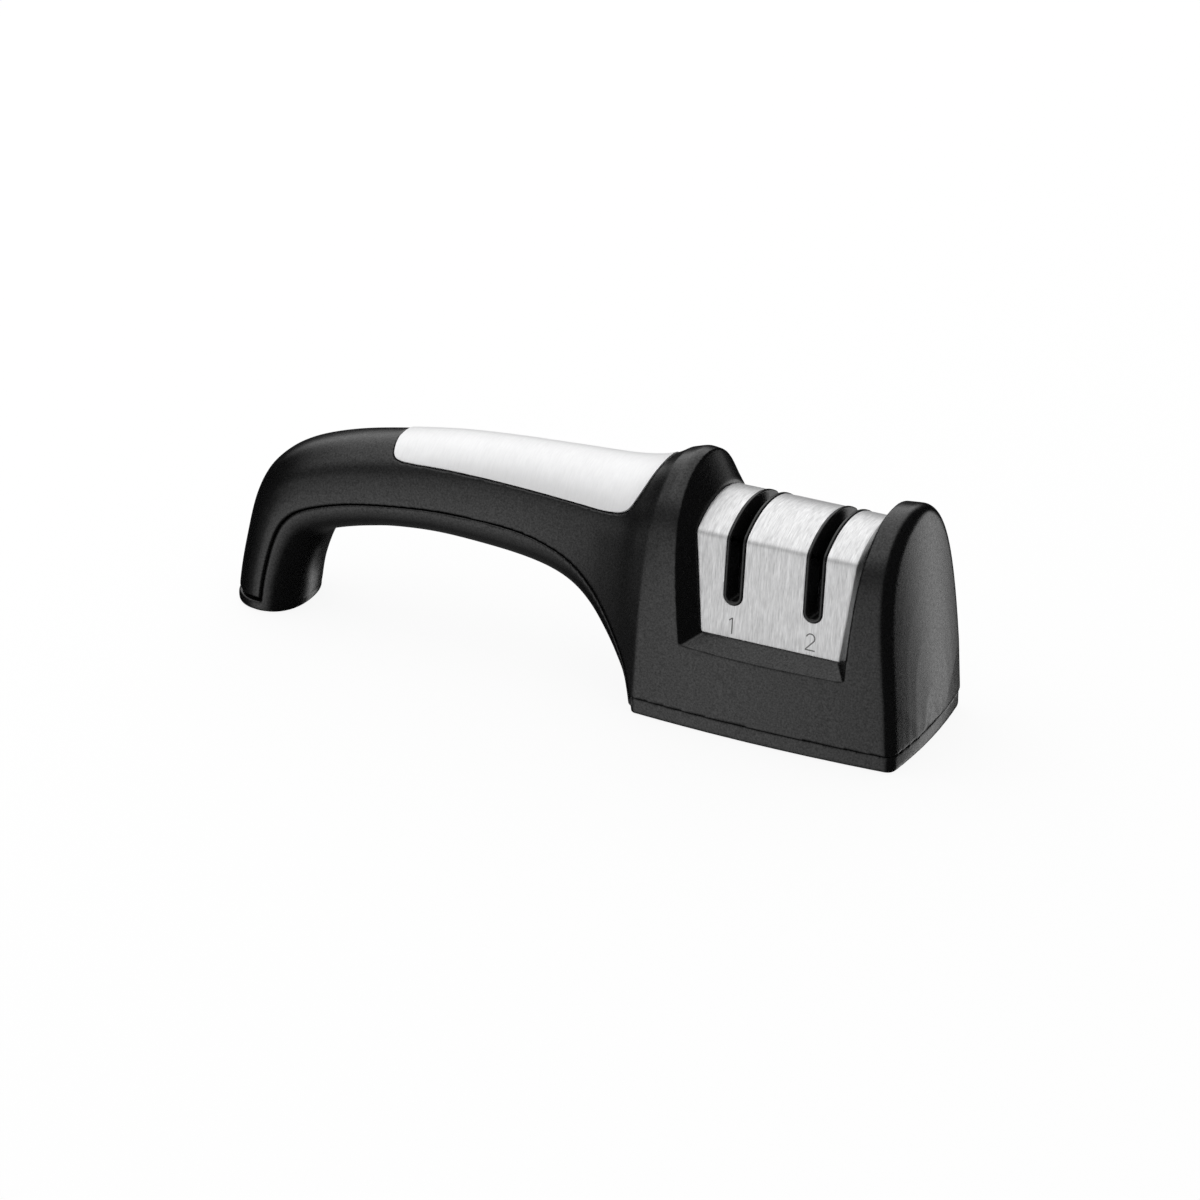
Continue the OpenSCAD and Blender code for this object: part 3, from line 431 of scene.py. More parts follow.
def window_cutter():
    """Room of the window: its bevelled walls run from the cover's edges past the head's surface."""
    rings = []

    def ring(left, right, out_left, out_right):
        ends = [out + (out - start) * WINDOW_PAST for start, out in ((left, out_left), (right, out_right))]
        rings.append([left, ends[0], ends[1], right])

    def flank(share, way):
        z = COVER_SILL_Z + (COVER_CREASE_Z - COVER_SILL_Z) * share
        out_z = WINDOW_SILL_Z + (WINDOW_CREASE_Z - WINDOW_SILL_Z) * share
        y, half = way * cover_flank_y(z), WINDOW_HALF_LOW + (WINDOW_HALF_TOP - WINDOW_HALF_LOW) * share
        out = [WINDOW_MID - half, WINDOW_MID + half]
        ring(*[np.array([COVER_MID + side * (cover_half(z) - SEAM), y, z]) for side in (-1, 1)],
             *[np.array([x, way * surface_y(x, out_z), out_z]) for x in out])

    shares = np.linspace(0, 1, WINDOW_STEPS)
    for share in shares:
        flank(share, -1)
    for angle in np.linspace(-CROWN_REACH, CROWN_REACH, CROWN_STEPS)[1:-1]:
        y, z = CROWN_R * math.sin(angle), CROWN_Z + CROWN_R * math.cos(angle)
        out = [WINDOW_MID - WINDOW_HALF_TOP, WINDOW_MID + WINDOW_HALF_TOP]
        out_y = [y / COVER_CREASE_Y * surface_y(x, WINDOW_CREASE_Z) for x in out]
        ring(*[np.array([COVER_MID + side * (COVER_HALF_TOP - SEAM), y, z]) for side in (-1, 1)],
             *[np.array([x, w, surface_z(x, w)]) for x, w in zip(out, out_y)])
    for share in shares[::-1]:
        flank(share, 1)
    return loft("window", rings)


def window_rim():
    """Points along the edge between the window's walls and the head's surface."""
    share = np.linspace(0, 1, RIM_SIDE_POINTS)
    across = np.linspace(-1, 1, RIM_END_POINTS)
    z = WINDOW_SILL_Z + (WINDOW_CREASE_Z - WINDOW_SILL_Z) * share
    half = WINDOW_HALF_LOW + (WINDOW_HALF_TOP - WINDOW_HALF_LOW) * share
    low_x = WINDOW_MID + WINDOW_HALF_LOW * across
    lines = []
    for side in (-1, 1):
        x = WINDOW_MID + side * half
        lines += [np.stack([x, way * surface_y(x, z), z], 1) for way in (-1, 1)]
        y = surface_y(x[-1], WINDOW_CREASE_Z) * across
        lines.append(np.stack([np.full(RIM_END_POINTS, x[-1]), y, surface_z(x[-1], y)], 1))
        sill = np.full(RIM_END_POINTS, WINDOW_SILL_Z)
        lines.append(np.stack([low_x, side * surface_y(low_x, WINDOW_SILL_Z), sill], 1))
    return np.concatenate(lines)


def extent_cutter():
    """Room over the whole extent of the cover, as seen from the side."""
    low, top, high = COVER_HALF_LOW, COVER_HALF_TOP, OVERALL_H + PAST
    outline = [(-low, COVER_SILL_Z), (-top, COVER_CREASE_Z), (-top, high),
               (top, high), (top, COVER_CREASE_Z), (low, COVER_SILL_Z)]
    rings = [[(COVER_MID + x, way * HEAD_W, z) for x, z in outline] for way in (-1, 1)]
    return loft("extent", rings)


def chamber_cutter():
    """Hollow of the head under the window and in its two ears."""
    stations = np.linspace(0, 1, ROOM_STATIONS)
    room = loft("room", [head_ring(u, WALL, WALL + (EDGE_ROUND - 2 * WALL) * u) for u in stations])
    under = box_between("under", (-HALF_LEN, -HEAD_W, -PAST), (HALF_LEN + PAST, HEAD_W, CHAMBER_TOP))
    pocket_top = WINDOW_CREASE_Z - WALL / 2
    ears = [box_between("ear", (low, -HEAD_W, -PAST), (high, HEAD_W, pocket_top)) for low, high in (
        (HEAD_LEFT, WINDOW_MID - WINDOW_HALF_TOP - WALL), (WINDOW_MID + WINDOW_HALF_TOP + WALL, HALF_LEN))]
    combine(under, ears, "UNION")
    return combine(room, [under], "INTERSECT")


def guide_room():
    """Room behind the cover, down into the chamber."""
    depth = SHEET_T + GLUE_T + GUIDE_T - FIT_GAP
    half = COVER_HALF_TOP + FLANGE_W + 2 * FIT_GAP
    profile = cover_profile(depth)
    rings = [[(COVER_MID + x, y, z) for y, z in profile] for x in (-half, half)]
    return loft("guide_room", rings)


def cover_profile(depth):
    """Outline of the cover's body, a depth under its face, down to the table."""
    angles = np.linspace(-CROWN_REACH, CROWN_REACH, CROWN_STEPS)
    r = CROWN_R - depth
    points = [(r * math.sin(a), CROWN_Z + r * math.cos(a)) for a in angles]
    low = cover_flank_y(0.0) - depth
    return [(-low, 0.0)] + points + [(low, 0.0)]


BASE_SCREW_LEFT = HEAD_LEFT + WALL + SCREW_HEAD_R + BOSS_T
BASE_SCREW_RIGHT = float(right_face_x(0.0, CHAMBER_TOP)) - SCREW_HEAD_R - BOSS_T
BASE_SCREW_Y = HEAD_W / 2 - SIDE_BULGE - WALL - SCREW_HEAD_R - BOSS_T - EDGE_ROUND
BASE_SITES = [(x, way * BASE_SCREW_Y) for x in (BASE_SCREW_LEFT, BASE_SCREW_RIGHT) for way in (-1, 1)]
GRIP_SITES = [(float(spline(ROWS, i)[0, 2]), float(spline(ROWS, i)[0, 3])) for i in GRIP_SCREW_ROWS]


screw_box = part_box("carrier_screws")
CARRIER_SITES = [
    (x, y)
    for x in (screw_box[0].x / MM + SCREW_HEAD_R, screw_box[1].x / MM - SCREW_HEAD_R)
    for y in (screw_box[0].y / MM + SCREW_HEAD_R, screw_box[1].y / MM - SCREW_HEAD_R)
]


def low_z(name):
    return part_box(name)[0].z / MM


def head_z(joint_z):
    return joint_z - SEAM - SEAT_T - SCREW_HEAD_H


def parting_points(drop=0.0):
    """Points along the parting line on both flanks of the grip."""
    at = np.linspace(0, LAST_ROW, PARTING_POINTS)
    s = spline(ROWS, at)
    return np.concatenate([np.stack([s[:, 2], way * s[:, 6], s[:, 3] - drop], 1) for way in (-1, 1)])


def inlay_outline():
    """Fine outline of the inlay: rows and angles along one long edge."""
    table = np.array(INLAY_ROWS, float)
    return spline(table, np.linspace(0, len(table) - 1, INLAY_STEPS))


def inlay_band(name, inner, outer, margin):
    """Band of the grip's surface between two depths, widened by a margin."""
    rows = inlay_outline()
    middle = (INLAY_ROWS[0][0] + INLAY_ROWS[-1][0]) / 2
    rings = []
    for at, start in rows:
        ahead, behind = section_points([at + 0.5, at - 0.5], [90, 90])
        place = at + np.sign(at - middle) * margin / np.linalg.norm(ahead - behind)
        start = start - math.degrees(math.atan(margin / spline(ROWS, place)[0, 6]))
        across = np.linspace(start, 180 - start, INLAY_COLUMNS + 1)
        rings.append(np.concatenate([
            section_points(place, across, outer), section_points(place, across[::-1], inner)]))
    return loft(name, rings)


def upper_shell():
    obj = combine(head_solid(), [grip_upper_solid()], "UNION")
    cutters = [
        grip_upper_solid(WALL, True, HOLLOW_END),
        chamber_cutter(),
        guide_room(),
        window_cutter(),
        extent_cutter(),
        inlay_band("pocket", INLAY_T - INLAY_PROUD + GLUE_T + FIT_GAP, -POCKET_RISE, INLAY_GAP),
    ]
    combine(obj, cutters, "DIFFERENCE")
    bosses = [rod("boss", x, y, BASE_H, CHAMBER_TOP + WALL, SCREW_R + BOSS_T) for x, y in BASE_SITES]
    bosses += [rod("boss", x, 0, z, z + GRIP_BOSS_H, SCREW_R + BOSS_T) for x, z in GRIP_SITES]
    combine(obj, bosses, "UNION")
    sites = [(x, y, 0, head_z(BASE_H) + SCREW_HEAD_H + BASE_HOLE_DEEP) for x, y in BASE_SITES]
    sites += [(x, 0, z - PAST, head_z(z) + SCREW_HEAD_H + GRIP_HOLE_DEEP) for x, z in GRIP_SITES]
    holes = [rod("hole", *site, SCREW_R + FIT_GAP, HOLE_SIDES) for site in sites]
    holes.append(box_between("low", (0, -HEAD_W, -PAST), (HALF_LEN + PAST, HEAD_W, BASE_H)))
    foot_top = SOLE_H + SOLE_GROOVE
    holes.append(box_between("foot", (-HALF_LEN - PAST, -HEAD_W, -PAST), (FOOT_END_X, HEAD_W, foot_top)))
    combine(obj, holes, "DIFFERENCE")
    obj.name = "upper_shell"
    rows = inlay_outline()
    rim = [section_points(rows[:, 0], a) for a in (rows[:, 1], 180 - rows[:, 1])]
    edge = np.stack([np.linspace(HEAD_LEFT, HALF_LEN, FLANK_POINTS)] * 2, 0).ravel()
    sides = np.repeat([-1.0, 1.0], FLANK_POINTS)
    base = np.stack([edge, sides * surface_y(edge, BASE_H), np.full(2 * FLANK_POINTS, BASE_H)], 1)
    cap_y = np.linspace(-HEAD_W / 2, HEAD_W / 2, CAP_POINTS)
    cap = np.stack([right_face_x(cap_y, BASE_H) + EDGE_ROUND, cap_y, np.full(CAP_POINTS, BASE_H)], 1)
    joints = np.concatenate([parting_points(), base, cap])
    crease = head_ring(0.0, count=CREASE_POINTS)
    return mould(obj, (np.concatenate(rim), INLAY_CRISP), (joints, JOINT_CRISP),
                 (window_rim(), CREASE_CRISP), (crease, CREASE_CRISP))


def offset_ring(points, inset):
    """Moves a closed outline in the XY plane inwards."""
    points = np.asarray(points, float)
    along = np.roll(points, -1, 0) - np.roll(points, 1, 0)
    along /= np.linalg.norm(along, axis=1, keepdims=True)
    area = np.sum(points[:, 0] * np.roll(points[:, 1], -1) - points[:, 1] * np.roll(points[:, 0], -1))
    inward = np.stack([-along[:, 1], along[:, 0]], 1) * (1 if area > 0 else -1)
    return points + inward * inset


def even_ring(points, count):
    """The same closed outline with evenly spaced points."""
    points = np.asarray(points, float)
    closed = np.concatenate([points, points[:1]])
    run = np.concatenate([[0], np.cumsum(np.linalg.norm(np.diff(closed, axis=0), axis=1))])
    at = np.linspace(0, run[-1], count, endpoint=False)
    return np.stack([np.interp(at, run, closed[:, j]) for j in (0, 1)], 1)


def section_at(z, low_row, high_row, degrees, lower):
    """Outline points where the grip's surface crosses a height."""
    at = np.linspace(low_row, high_row, ROW_SAMPLES)
    points = section_points(at[:, None], np.asarray(degrees)[None], 0, 0, lower)
    found = []
    for k in range(points.shape[1]):
        order = np.argsort(points[:, k, 2])
        column = points[order, k]
        found.append([np.interp(z, column[:, 2], column[:, j]) for j in (0, 1)])
    return np.array(found)


def base_outline():
    z = BASE_H / 2
    u = np.linspace(0, 1, BASE_POINTS)
    flank = np.stack([left_face_x(z) * (1 - u) + right_face_x(head_half_w(u), z) * u, -head_half_w(u)], 1)
    turn = np.radians(CORNER_DEGREES)
    inset = EDGE_ROUND * (1 - np.cos(turn))
    y = -(head_half_w(1.0) - inset)
    corner = np.stack([right_face_x(y, z) + EDGE_ROUND * np.sin(turn), y], 1)
    y = np.linspace(corner[-1, 1], -corner[-1, 1], BASE_POINTS)[1:-1]
    face = np.stack([right_face_x(y, z) + EDGE_ROUND, y], 1)
    half = np.concatenate([flank, corner])
    heel = section_at(z, HEEL_ROW, LAST_ROW, np.linspace(*HEEL_DEGREES, BASE_POINTS), True)
    if heel[0, 1] < heel[-1, 1]:
        heel = heel[::-1]
    ring = np.concatenate([half, face, half[::-1] * [1, -1], heel])
    return offset_ring(even_ring(ring, BASE_RING_POINTS), BASE_INSET)


def sole_outline():
    z = SOLE_H / 2
    up = section_at(z, 0, 1, np.linspace(0, 180, BASE_POINTS + 1), False)
    down = section_at(z, 0, 1, np.linspace(180, 360, BASE_POINTS + 1), True)
    return even_ring(np.concatenate([up[:-1], down[:-1]]), SOLE_RING_POINTS)


def level(outline, z):
    return np.column_stack([outline, np.full(len(outline), z)])


def slab(name, outline, low, high):
    return loft(name, [level(outline, z) for z in (low, high)])


def footed(name, outline, high):
    """Slab on the pads' level with a rounded bottom edge."""
    rings = []
    for a in np.radians(np.linspace(0, 90, FOOT_EDGE_STEPS)):
        rings.append((BASE_EDGE * (1 - math.sin(a)), PAD_PROUD + BASE_EDGE * (1 - math.cos(a))))
    rings.append((0.0, high))
    return loft(name, [level(offset_ring(outline, inset), z) for inset, z in rings])


def lower_shell():
    grip = grip_lower_solid()
    combine(grip, [grip_lower_solid(WALL, -HOLLOW_RISE, HOLLOW_END)], "DIFFERENCE")
    keep = box_between("keep", (-HALF_LEN - PAST, -HEAD_W, BASE_H / 2), (HALF_LEN, HEAD_W, OVERALL_H))
    combine(grip, [keep], "INTERSECT")
    outline = base_outline()
    base = footed("base", outline, BASE_H - SEAM)
    inner = offset_ring(outline, WALL)
    combine(base, [slab("base_hollow", inner, FLOOR_Z, BASE_H + BASE_PAST)], "DIFFERENCE")
    seat = SCREW_HEAD_R + BOSS_T
    seats = [rod("seat", x, y, PAD_PROUD, BASE_H - SEAM, seat) for x, y in BASE_SITES]
    pillar_top = low_z("wheel_carrier")
    seats += [rod("pillar", x, y, PAD_PROUD, pillar_top, SCREW_R + BOSS_T) for x, y in CARRIER_SITES]
    grip_seats = []
    for x, z in GRIP_SITES:
        grip_seats.append(rod("seat", x, 0, z - GRIP_SEAT_H, z - SEAM, seat))
        combine(grip_seats[-1], [grip_lower_solid()], "INTERSECT")
    obj = combine(base, [footed("sole", sole_outline(), SOLE_H), grip] + seats + grip_seats, "UNION")
    holes = []
    for x, y, z in [(x, y, BASE_H) for x, y in BASE_SITES] + [(x, 0, z) for x, z in GRIP_SITES]:
        low = -PAST if z == BASE_H else z - GRIP_HOLE_DROP
        holes.append(rod("head_hole", x, y, low, head_z(z) + SCREW_HEAD_H, SCREW_HEAD_R + FIT_GAP))
        holes.append(rod("shank_hole", x, y, low, z + PAST, SCREW_R + FIT_GAP, HOLE_SIDES))
    for line in (outline, sole_outline()):
        holes.append(slab("pad_room", offset_ring(line, PAD_MARGIN - FIT_GAP), -BASE_PAST, PAD_T))
    combine(obj, holes, "DIFFERENCE")
    obj.name = "lower_shell"
    rim = level(outline, BASE_H - SEAM)
    return mould(obj, (np.concatenate([parting_points(SEAM), rim]), JOINT_CRISP))


# Steel cover and slot lips
BEND, COVER_SOFT, LIP_SOFT, LIP_FOOT = 3.2, 0.12, 0.42, 1.4
FACE_STEPS, BEND_STEPS, SLOT_STEPS, PLATE_ROWS, PLATE_COLUMNS, LINER_ROWS = 40, 9, 33, 161, 61, 61
LIP_STEPS, LIP_TURN_STEPS, LIP_EDGE_STEPS = 150, 19, 7


def face_line(bend):
    """Face of the cover as points and outward normals in the YZ plane, its creases bent with a radius."""
    up = Vector((COVER_SILL_Y - COVER_CREASE_Y, COVER_CREASE_Z - COVER_SILL_Z)).normalized()
    corner = Vector((-COVER_CREASE_Y, COVER_CREASE_Z))
    tangent = Vector((math.cos(CROWN_REACH), math.sin(CROWN_REACH)))
    turn = up.angle(tangent)
    back = bend * math.tan(turn / 2)
    start = corner - up * back
    centre = start + Vector((up.y, -up.x)) * bend
    first = math.atan2(up.x, up.y)
    sill = Vector((-COVER_SILL_Y, COVER_SILL_Z))
    points = [sill.lerp(start, t) for t in np.linspace(0, 1, FACE_STEPS)[:-1]]
    normals = [Vector((-up.y, up.x))] * len(points)
    for t in np.linspace(0, 1, BEND_STEPS):
        n = Vector((-math.cos(first + turn * t), math.sin(first + turn * t)))
        points.append(centre + n * bend)
        normals.append(n)
    last = points[-1]
    reach = math.atan2(-last.x, last.y - CROWN_Z)
    for a in np.linspace(-reach, 0, FACE_STEPS)[1:]:
        n = Vector((math.sin(a), math.cos(a)))
        points.append(Vector((0, CROWN_Z)) + n * CROWN_R)
        normals.append(n)
    points = np.array([tuple(p) for p in points])
    normals = np.array([tuple(n) for n in normals])
    flip = np.array([-1, 1])
    return (np.concatenate([points, points[-2::-1] * flip]),
            np.concatenate([normals, normals[-2::-1] * flip]))


FACE, FACE_N = face_line(BEND)
FACE_RUN = np.concatenate([[0], np.cumsum(np.linalg.norm(np.diff(FACE, axis=0), axis=1))])


def on_face(run, depth=0.0):
    """Point in the YZ plane at a run along the cover's face, and its normal."""
    p = np.stack([np.interp(run, FACE_RUN, FACE[:, j]) for j in (0, 1)], -1)
    n = np.stack([np.interp(run, FACE_RUN, FACE_N[:, j]) for j in (0, 1)], -1)
    n = n / np.linalg.norm(n, axis=-1, keepdims=True)
    return p - n * depth, n


def run_at(z):
    """Run along the cover's face at which its front flank has a height."""
    half = len(FACE) // 2
    return float(np.interp(z, FACE[:half, 1], FACE_RUN[:half]))


def slot_cutter(x, width):
    centre = SLOT_LOW_Z + SLOT_W / 2
    angle = np.linspace(math.pi, 2 * math.pi, SLOT_STEPS)
    outline = [(x + width / 2 * math.cos(a), centre + width / 2 * math.sin(a)) for a in angle]
    outline += [(x + width / 2, OVERALL_H + PAST), (x - width / 2, OVERALL_H + PAST)]
    return loft("slot", [[(px, way * HEAD_W, pz) for px, pz in outline] for way in (-1, 1)])


def cover_plate():
    runs = np.linspace(0, FACE_RUN[-1], PLATE_ROWS)
    outer, _ = on_face(runs)
    inner, _ = on_face(runs, SHEET_T)
    half = cover_half(outer[:, 1]) - FIT_GAP
    columns = np.linspace(-1, 1, PLATE_COLUMNS)
    rings = []
    for (y, z), (yi, zi), h in zip(outer, inner, half):
        top = [(COVER_MID + h * c, y, z) for c in columns]
        under = [(COVER_MID + h * c, yi, zi) for c in columns[::-1]]
        rings.append(top + under)
    obj = loft("cover_plate", rings)
    combine(obj, [slot_cutter(x, SLOT_W) for x in SLOTS], "DIFFERENCE")
    return smooth_by_angle(soften(obj, COVER_SOFT, 2, 50), SMOOTH_ANGLE)


def slot_lip(x):
    """Raised rim that lines one slot: a rounded strip swept round the slot over the cover's face."""
    middle = (SLOT_W - FIT_GAP - LIP_T) / 2
    half_wall = (LIP_T - FIT_GAP) / 2
    first = run_at(SLOT_LOW_Z + SLOT_W / 2)
    last = FACE_RUN[-1] - first
    path, across = [], []
    turn = np.linspace(0, math.pi, LIP_TURN_STEPS)
    for way, start, end in ((1, first, last), (-1, last, first)):
        for a in turn:
            path.append((-way * middle * math.cos(a), start - way * middle * math.sin(a)))
            across.append((-way * math.cos(a), -way * math.sin(a)))
        for s in np.linspace(start, end, LIP_STEPS)[1:-1]:
            path.append((way * middle, s))
            across.append((way, 0))
    profile = [(half_wall, -LIP_FOOT)]
    for side, start in ((1, 0), (-1, 90)):
        for a in np.radians(np.linspace(start, start + 90, LIP_EDGE_STEPS)):
            profile.append((side * (half_wall - LIP_SOFT) + LIP_SOFT * math.cos(a),
                            LIP_PROUD - LIP_SOFT + LIP_SOFT * math.sin(a)))
    profile += [(-half_wall, -LIP_DEPTH), (half_wall, -LIP_DEPTH)]
    rings = []
    for (px, s), (ax, along) in zip(path, across):
        ring = []
        for out, up in profile:
            at = s + along * out
            (y, z), _ = on_face(at, -up)
            ring.append((x + px + ax * out, y, z))
        rings.append(ring)
    return tube("lip", rings)


def slot_liner():
    """Guide behind the cover with the two raised lips."""
    rings = []
    runs = np.linspace(0, FACE_RUN[-1], LINER_ROWS)
    depths = (SHEET_T + GLUE_T, SHEET_T + GLUE_T + 2 * GUIDE_T)
    half = COVER_HALF_LOW - FIT_GAP
    for run in runs:
        (y, z), _ = on_face(run, depths[0])
        (yi, zi), _ = on_face(run, depths[1])
        rings.append([(COVER_MID - half, y, z), (COVER_MID + half, y, z),
                      (COVER_MID + half, yi, zi), (COVER_MID - half, yi, zi)])
    obj = loft("slot_liner", rings)
    combine(obj, [slot_cutter(x, SLOT_W - LIP_T) for x in SLOTS], "DIFFERENCE")
    legs = []
    outer = cover_flank_y(COVER_SILL_Z) - depths[0] - GUIDE_T
    for x in (COVER_MID - half, COVER_MID + half - GUIDE_LEG):
        for y in (-outer, outer - GUIDE_LEG):
            end = (x + GUIDE_LEG, y + GUIDE_LEG, COVER_SILL_Z + GUIDE_LEG)
            legs.append(box_between("leg", (x, y, low_z("slot_guide")), end))
    combine(obj, legs, "UNION")
    for x in SLOTS:
        join(obj, slot_lip(x))
    return smooth_by_angle(obj, SMOOTH_ANGLE)


def inlay_plate():
    plate = inlay_band("inlay_plate", INLAY_T - INLAY_PROUD, -INLAY_PROUD, 0.0)
    return smooth_by_angle(soften(plate, INLAY_SOFT, 3, 45), INLAY_SMOOTH_ANGLE)


# Numerals: half width, height over and depth under the steel, then the strokes of 1 and of 2
MARK_HALF_W, MARK_PROUD, MARK_DEPTH = 0.17, 0.03, 0.05
STEM_H, FLAG_REACH, FLAG_DROP, FLAG_SINK = 4.5, 0.95, 0.75, 0.02
BOWL_R, BOWL_Z, BOWL_DEGREES = 1.22, 3.35, np.linspace(165, -35, 26)
NECK_END, FOOT_HALF = (-1.3, 0.1), 1.42
# Place of each numeral: X, and height of its foot
MARK_PLACES = {"numeral_1": (52.9, 29.1), "numeral_2": (75.6, 29.4)}


def stroke(name, points, run_low, x):
    """A marking on the cover's face. points are (x, height along the face) in millimetres."""
    points = np.asarray(points, float)
    along = np.gradient(points, axis=0)
    along /= np.linalg.norm(along, axis=1, keepdims=True)
    side = np.stack([-along[:, 1], along[:, 0]], 1) * MARK_HALF_W
    rings = []
    for p, s in zip(points, side):
        ring = []
        for way, up in ((1, MARK_PROUD), (-1, MARK_PROUD), (-1, -MARK_DEPTH), (1, -MARK_DEPTH)):
            q = p + way * s
            (y, z), _ = on_face(run_low + q[1], -up)
            ring.append((x + q[0], y, z))
        rings.append(ring)
    return loft(name, rings)


def numeral_one():
    stem = [(0.0, t) for t in np.linspace(0, STEM_H, 10)]
    flag = [(-FLAG_REACH * t, STEM_H - FLAG_SINK - FLAG_DROP * t) for t in np.linspace(0, 1, 6)]
    return [stem, flag]


def numeral_two():
    bowl = [(BOWL_R * math.cos(a), BOWL_Z + BOWL_R * math.sin(a)) for a in np.radians(BOWL_DEGREES)]
    start, end = np.array(bowl[-1]), np.array(NECK_END)
    neck = [start + (end - start) * t for t in np.linspace(0, 1, 10)[1:]]
    return [bowl + neck, [(t, 0.0) for t in np.linspace(-FOOT_HALF, FOOT_HALF, 8)]]


def numeral(name, strokes):
    x, foot_z = MARK_PLACES[name]
    parts = [stroke(name, line, run_at(foot_z), x) for line in strokes]
    return join(parts[0], *parts[1:])


# Materials. The coordinates of the noise are stretched round the part for the brushed steel.
PER_MM, WIDE_STREAKS, FINE_STREAKS = (1000, 1000, 1000), (1700, 170, 170), (4800, 420, 420)
# How far the grain of a moulding spreads its tone, gloss and shine
TONE_SPREAD, GLOSS_SPREAD, SHINE_SPREAD = 0.4, 0.04, 0.38
# Height of the relief in metres
GRAIN_H, STREAK_H, GRIT_H, TOOL_MARK_H = 0.00004, 0.00002, 0.00012, 0.00003


def material(name, base, rough, metallic=0.0, specular=0.5):
    mat = bpy.data.materials.new(name)
    mat.use_nodes = True
    tree = mat.node_tree
    shader = tree.nodes["Principled BSDF"]
    shader.inputs["Base Color"].default_value = (*base, 1)
    shader.inputs["Roughness"].default_value = rough
    shader.inputs["Metallic"].default_value = metallic
    shader.inputs["Specular IOR Level"].default_value = specular
    return mat, tree, shader


def feed(tree, socket, value):
    """Sets an input, or links it to the output of another node."""
    if isinstance(value, bpy.types.NodeSocket):
        tree.links.new(value, socket)
    else:
        socket.default_value = value


def add_node(tree, kind, **inputs):
    node = tree.nodes.new("ShaderNode" + kind)
    for name, value in inputs.items():
        feed(tree, node.inputs[name], value)
    return node


def math_node(tree, operation, *values):
    node = add_node(tree, "Math")
    node.operation = operation
    for socket, value in zip(node.inputs, values):
        feed(tree, socket, value)
    return node.outputs["Value"]


def coordinates(tree, scale):
    place = add_node(tree, "TexCoord").outputs["Object"]
    return add_node(tree, "Mapping", Vector=place, Scale=scale).outputs["Vector"]


def noise(tree, vector, scale, detail=2.0, rough=0.5):
    node = add_node(tree, "TexNoise", Vector=vector, Scale=scale, Detail=detail, Roughness=rough)
    return node.outputs["Fac"]


def ramp(tree, fac, stops):
    node = add_node(tree, "ValToRGB", Fac=fac)
    elements = node.color_ramp.elements
    elements[0].position, elements[1].position = stops[0][0], stops[-1][0]
    for place, _ in stops[1:-1]:
        elements.new(place)
    for element, (_, value) in zip(elements, stops):
        element.color = (*value, 1) if isinstance(value, tuple) else (value, value, value, 1)
    return node.outputs["Color"]


def bump(tree, shader, height, strength, distance):
    node = add_node(tree, "Bump", Strength=strength, Distance=distance, Height=height)
    tree.links.new(node.outputs["Normal"], shader.inputs["Normal"])


def vary(tree, shader, name, fac, low, high):
    """Drives an input of the shader by a ramp between two stops."""
    tree.links.new(ramp(tree, fac, [low, high]), shader.inputs[name])


def spread(value, by):
    return tuple(v * by for v in value)


def moulded(name, base, rough, grain=1.0, specular=0.4):
    """Spark-eroded moulding: fine grain, in height, gloss and shine."""
    mat, tree, shader = material(name, base, rough, specular=specular)
    at = coordinates(tree, PER_MM)
    fine = noise(tree, at, scale=1.9, detail=3.0, rough=0.65)
    pits = noise(tree, at, scale=1.3)
    light, dark = spread(base, 1 + TONE_SPREAD), spread(base, 1 - TONE_SPREAD)
    dull, bright = specular * (1 - SHINE_SPREAD * grain), specular * (1 + SHINE_SPREAD * grain)
    vary(tree, shader, "Base Color", fine, (0.3, dark), (0.7, light))
    vary(tree, shader, "Roughness", pits, (0.3, rough - GLOSS_SPREAD), (0.7, rough + GLOSS_SPREAD))
    vary(tree, shader, "Specular IOR Level", fine, (0.32, dull), (0.68, bright))
    bump(tree, shader, fine, 0.5 * grain, GRAIN_H)
    return mat


def brushed(name, base, rough, fine, dark, metallic):
    """Brushed stainless steel: streaks that run round the part, across its length. fine is the strength
    of their relief, and dark the share of the tone that is left in them."""
    mat, tree, shader = material(name, base, rough, metallic)
    wide = noise(tree, coordinates(tree, WIDE_STREAKS), scale=1.0, detail=3.0, rough=0.65)
    hair = noise(tree, coordinates(tree, FINE_STREAKS), scale=1.0, rough=0.6)
    fac = add_node(tree, "Mix", Factor=0.5, A=wide, B=hair).outputs["Result"]
    vary(tree, shader, "Base Color", fac, (0.35, spread(base, dark)), (0.65, base))
    vary(tree, shader, "Roughness", fac, (0.35, rough + 0.06), (0.65, rough - 0.05))
    bump(tree, shader, fac, 0.25 * fine, STREAK_H)
    return mat


def gritty(name):
    """Diamond grit on a nickel-plated rim."""
    mat, tree, shader = material(name, (0.32, 0.32, 0.33), 0.45, metallic=0.8)
    far = add_node(tree, "TexVoronoi", Vector=coordinates(tree, PER_MM), Scale=5.0).outputs["Distance"]
    vary(tree, shader, "Base Color", far, (0.1, (0.5, 0.5, 0.52)), (0.6, (0.14, 0.14, 0.15)))
    bump(tree, shader, far, 0.7, GRIT_H)
    return mat


def machined(name, base, rough):
    mat, tree, shader = material(name, base, rough, metallic=1.0)
    fine = noise(tree, coordinates(tree, PER_MM), scale=3.0)
    vary(tree, shader, "Base Color", fine, (0.3, spread(base, 0.85)), (0.7, base))
    vary(tree, shader, "Roughness", fine, (0.3, rough + 0.06), (0.7, rough - 0.04))
    bump(tree, shader, fine, 0.1, TOOL_MARK_H)
    return mat


def etched(name):
    """Dark marking on the steel."""
    mat, tree, shader = material(name, (0.16, 0.16, 0.165), 0.5, metallic=0.6)
    fine = noise(tree, coordinates(tree, PER_MM), scale=4.0)
    vary(tree, shader, "Base Color", fine, (0.3, 0.13), (0.7, 0.2))
    return mat


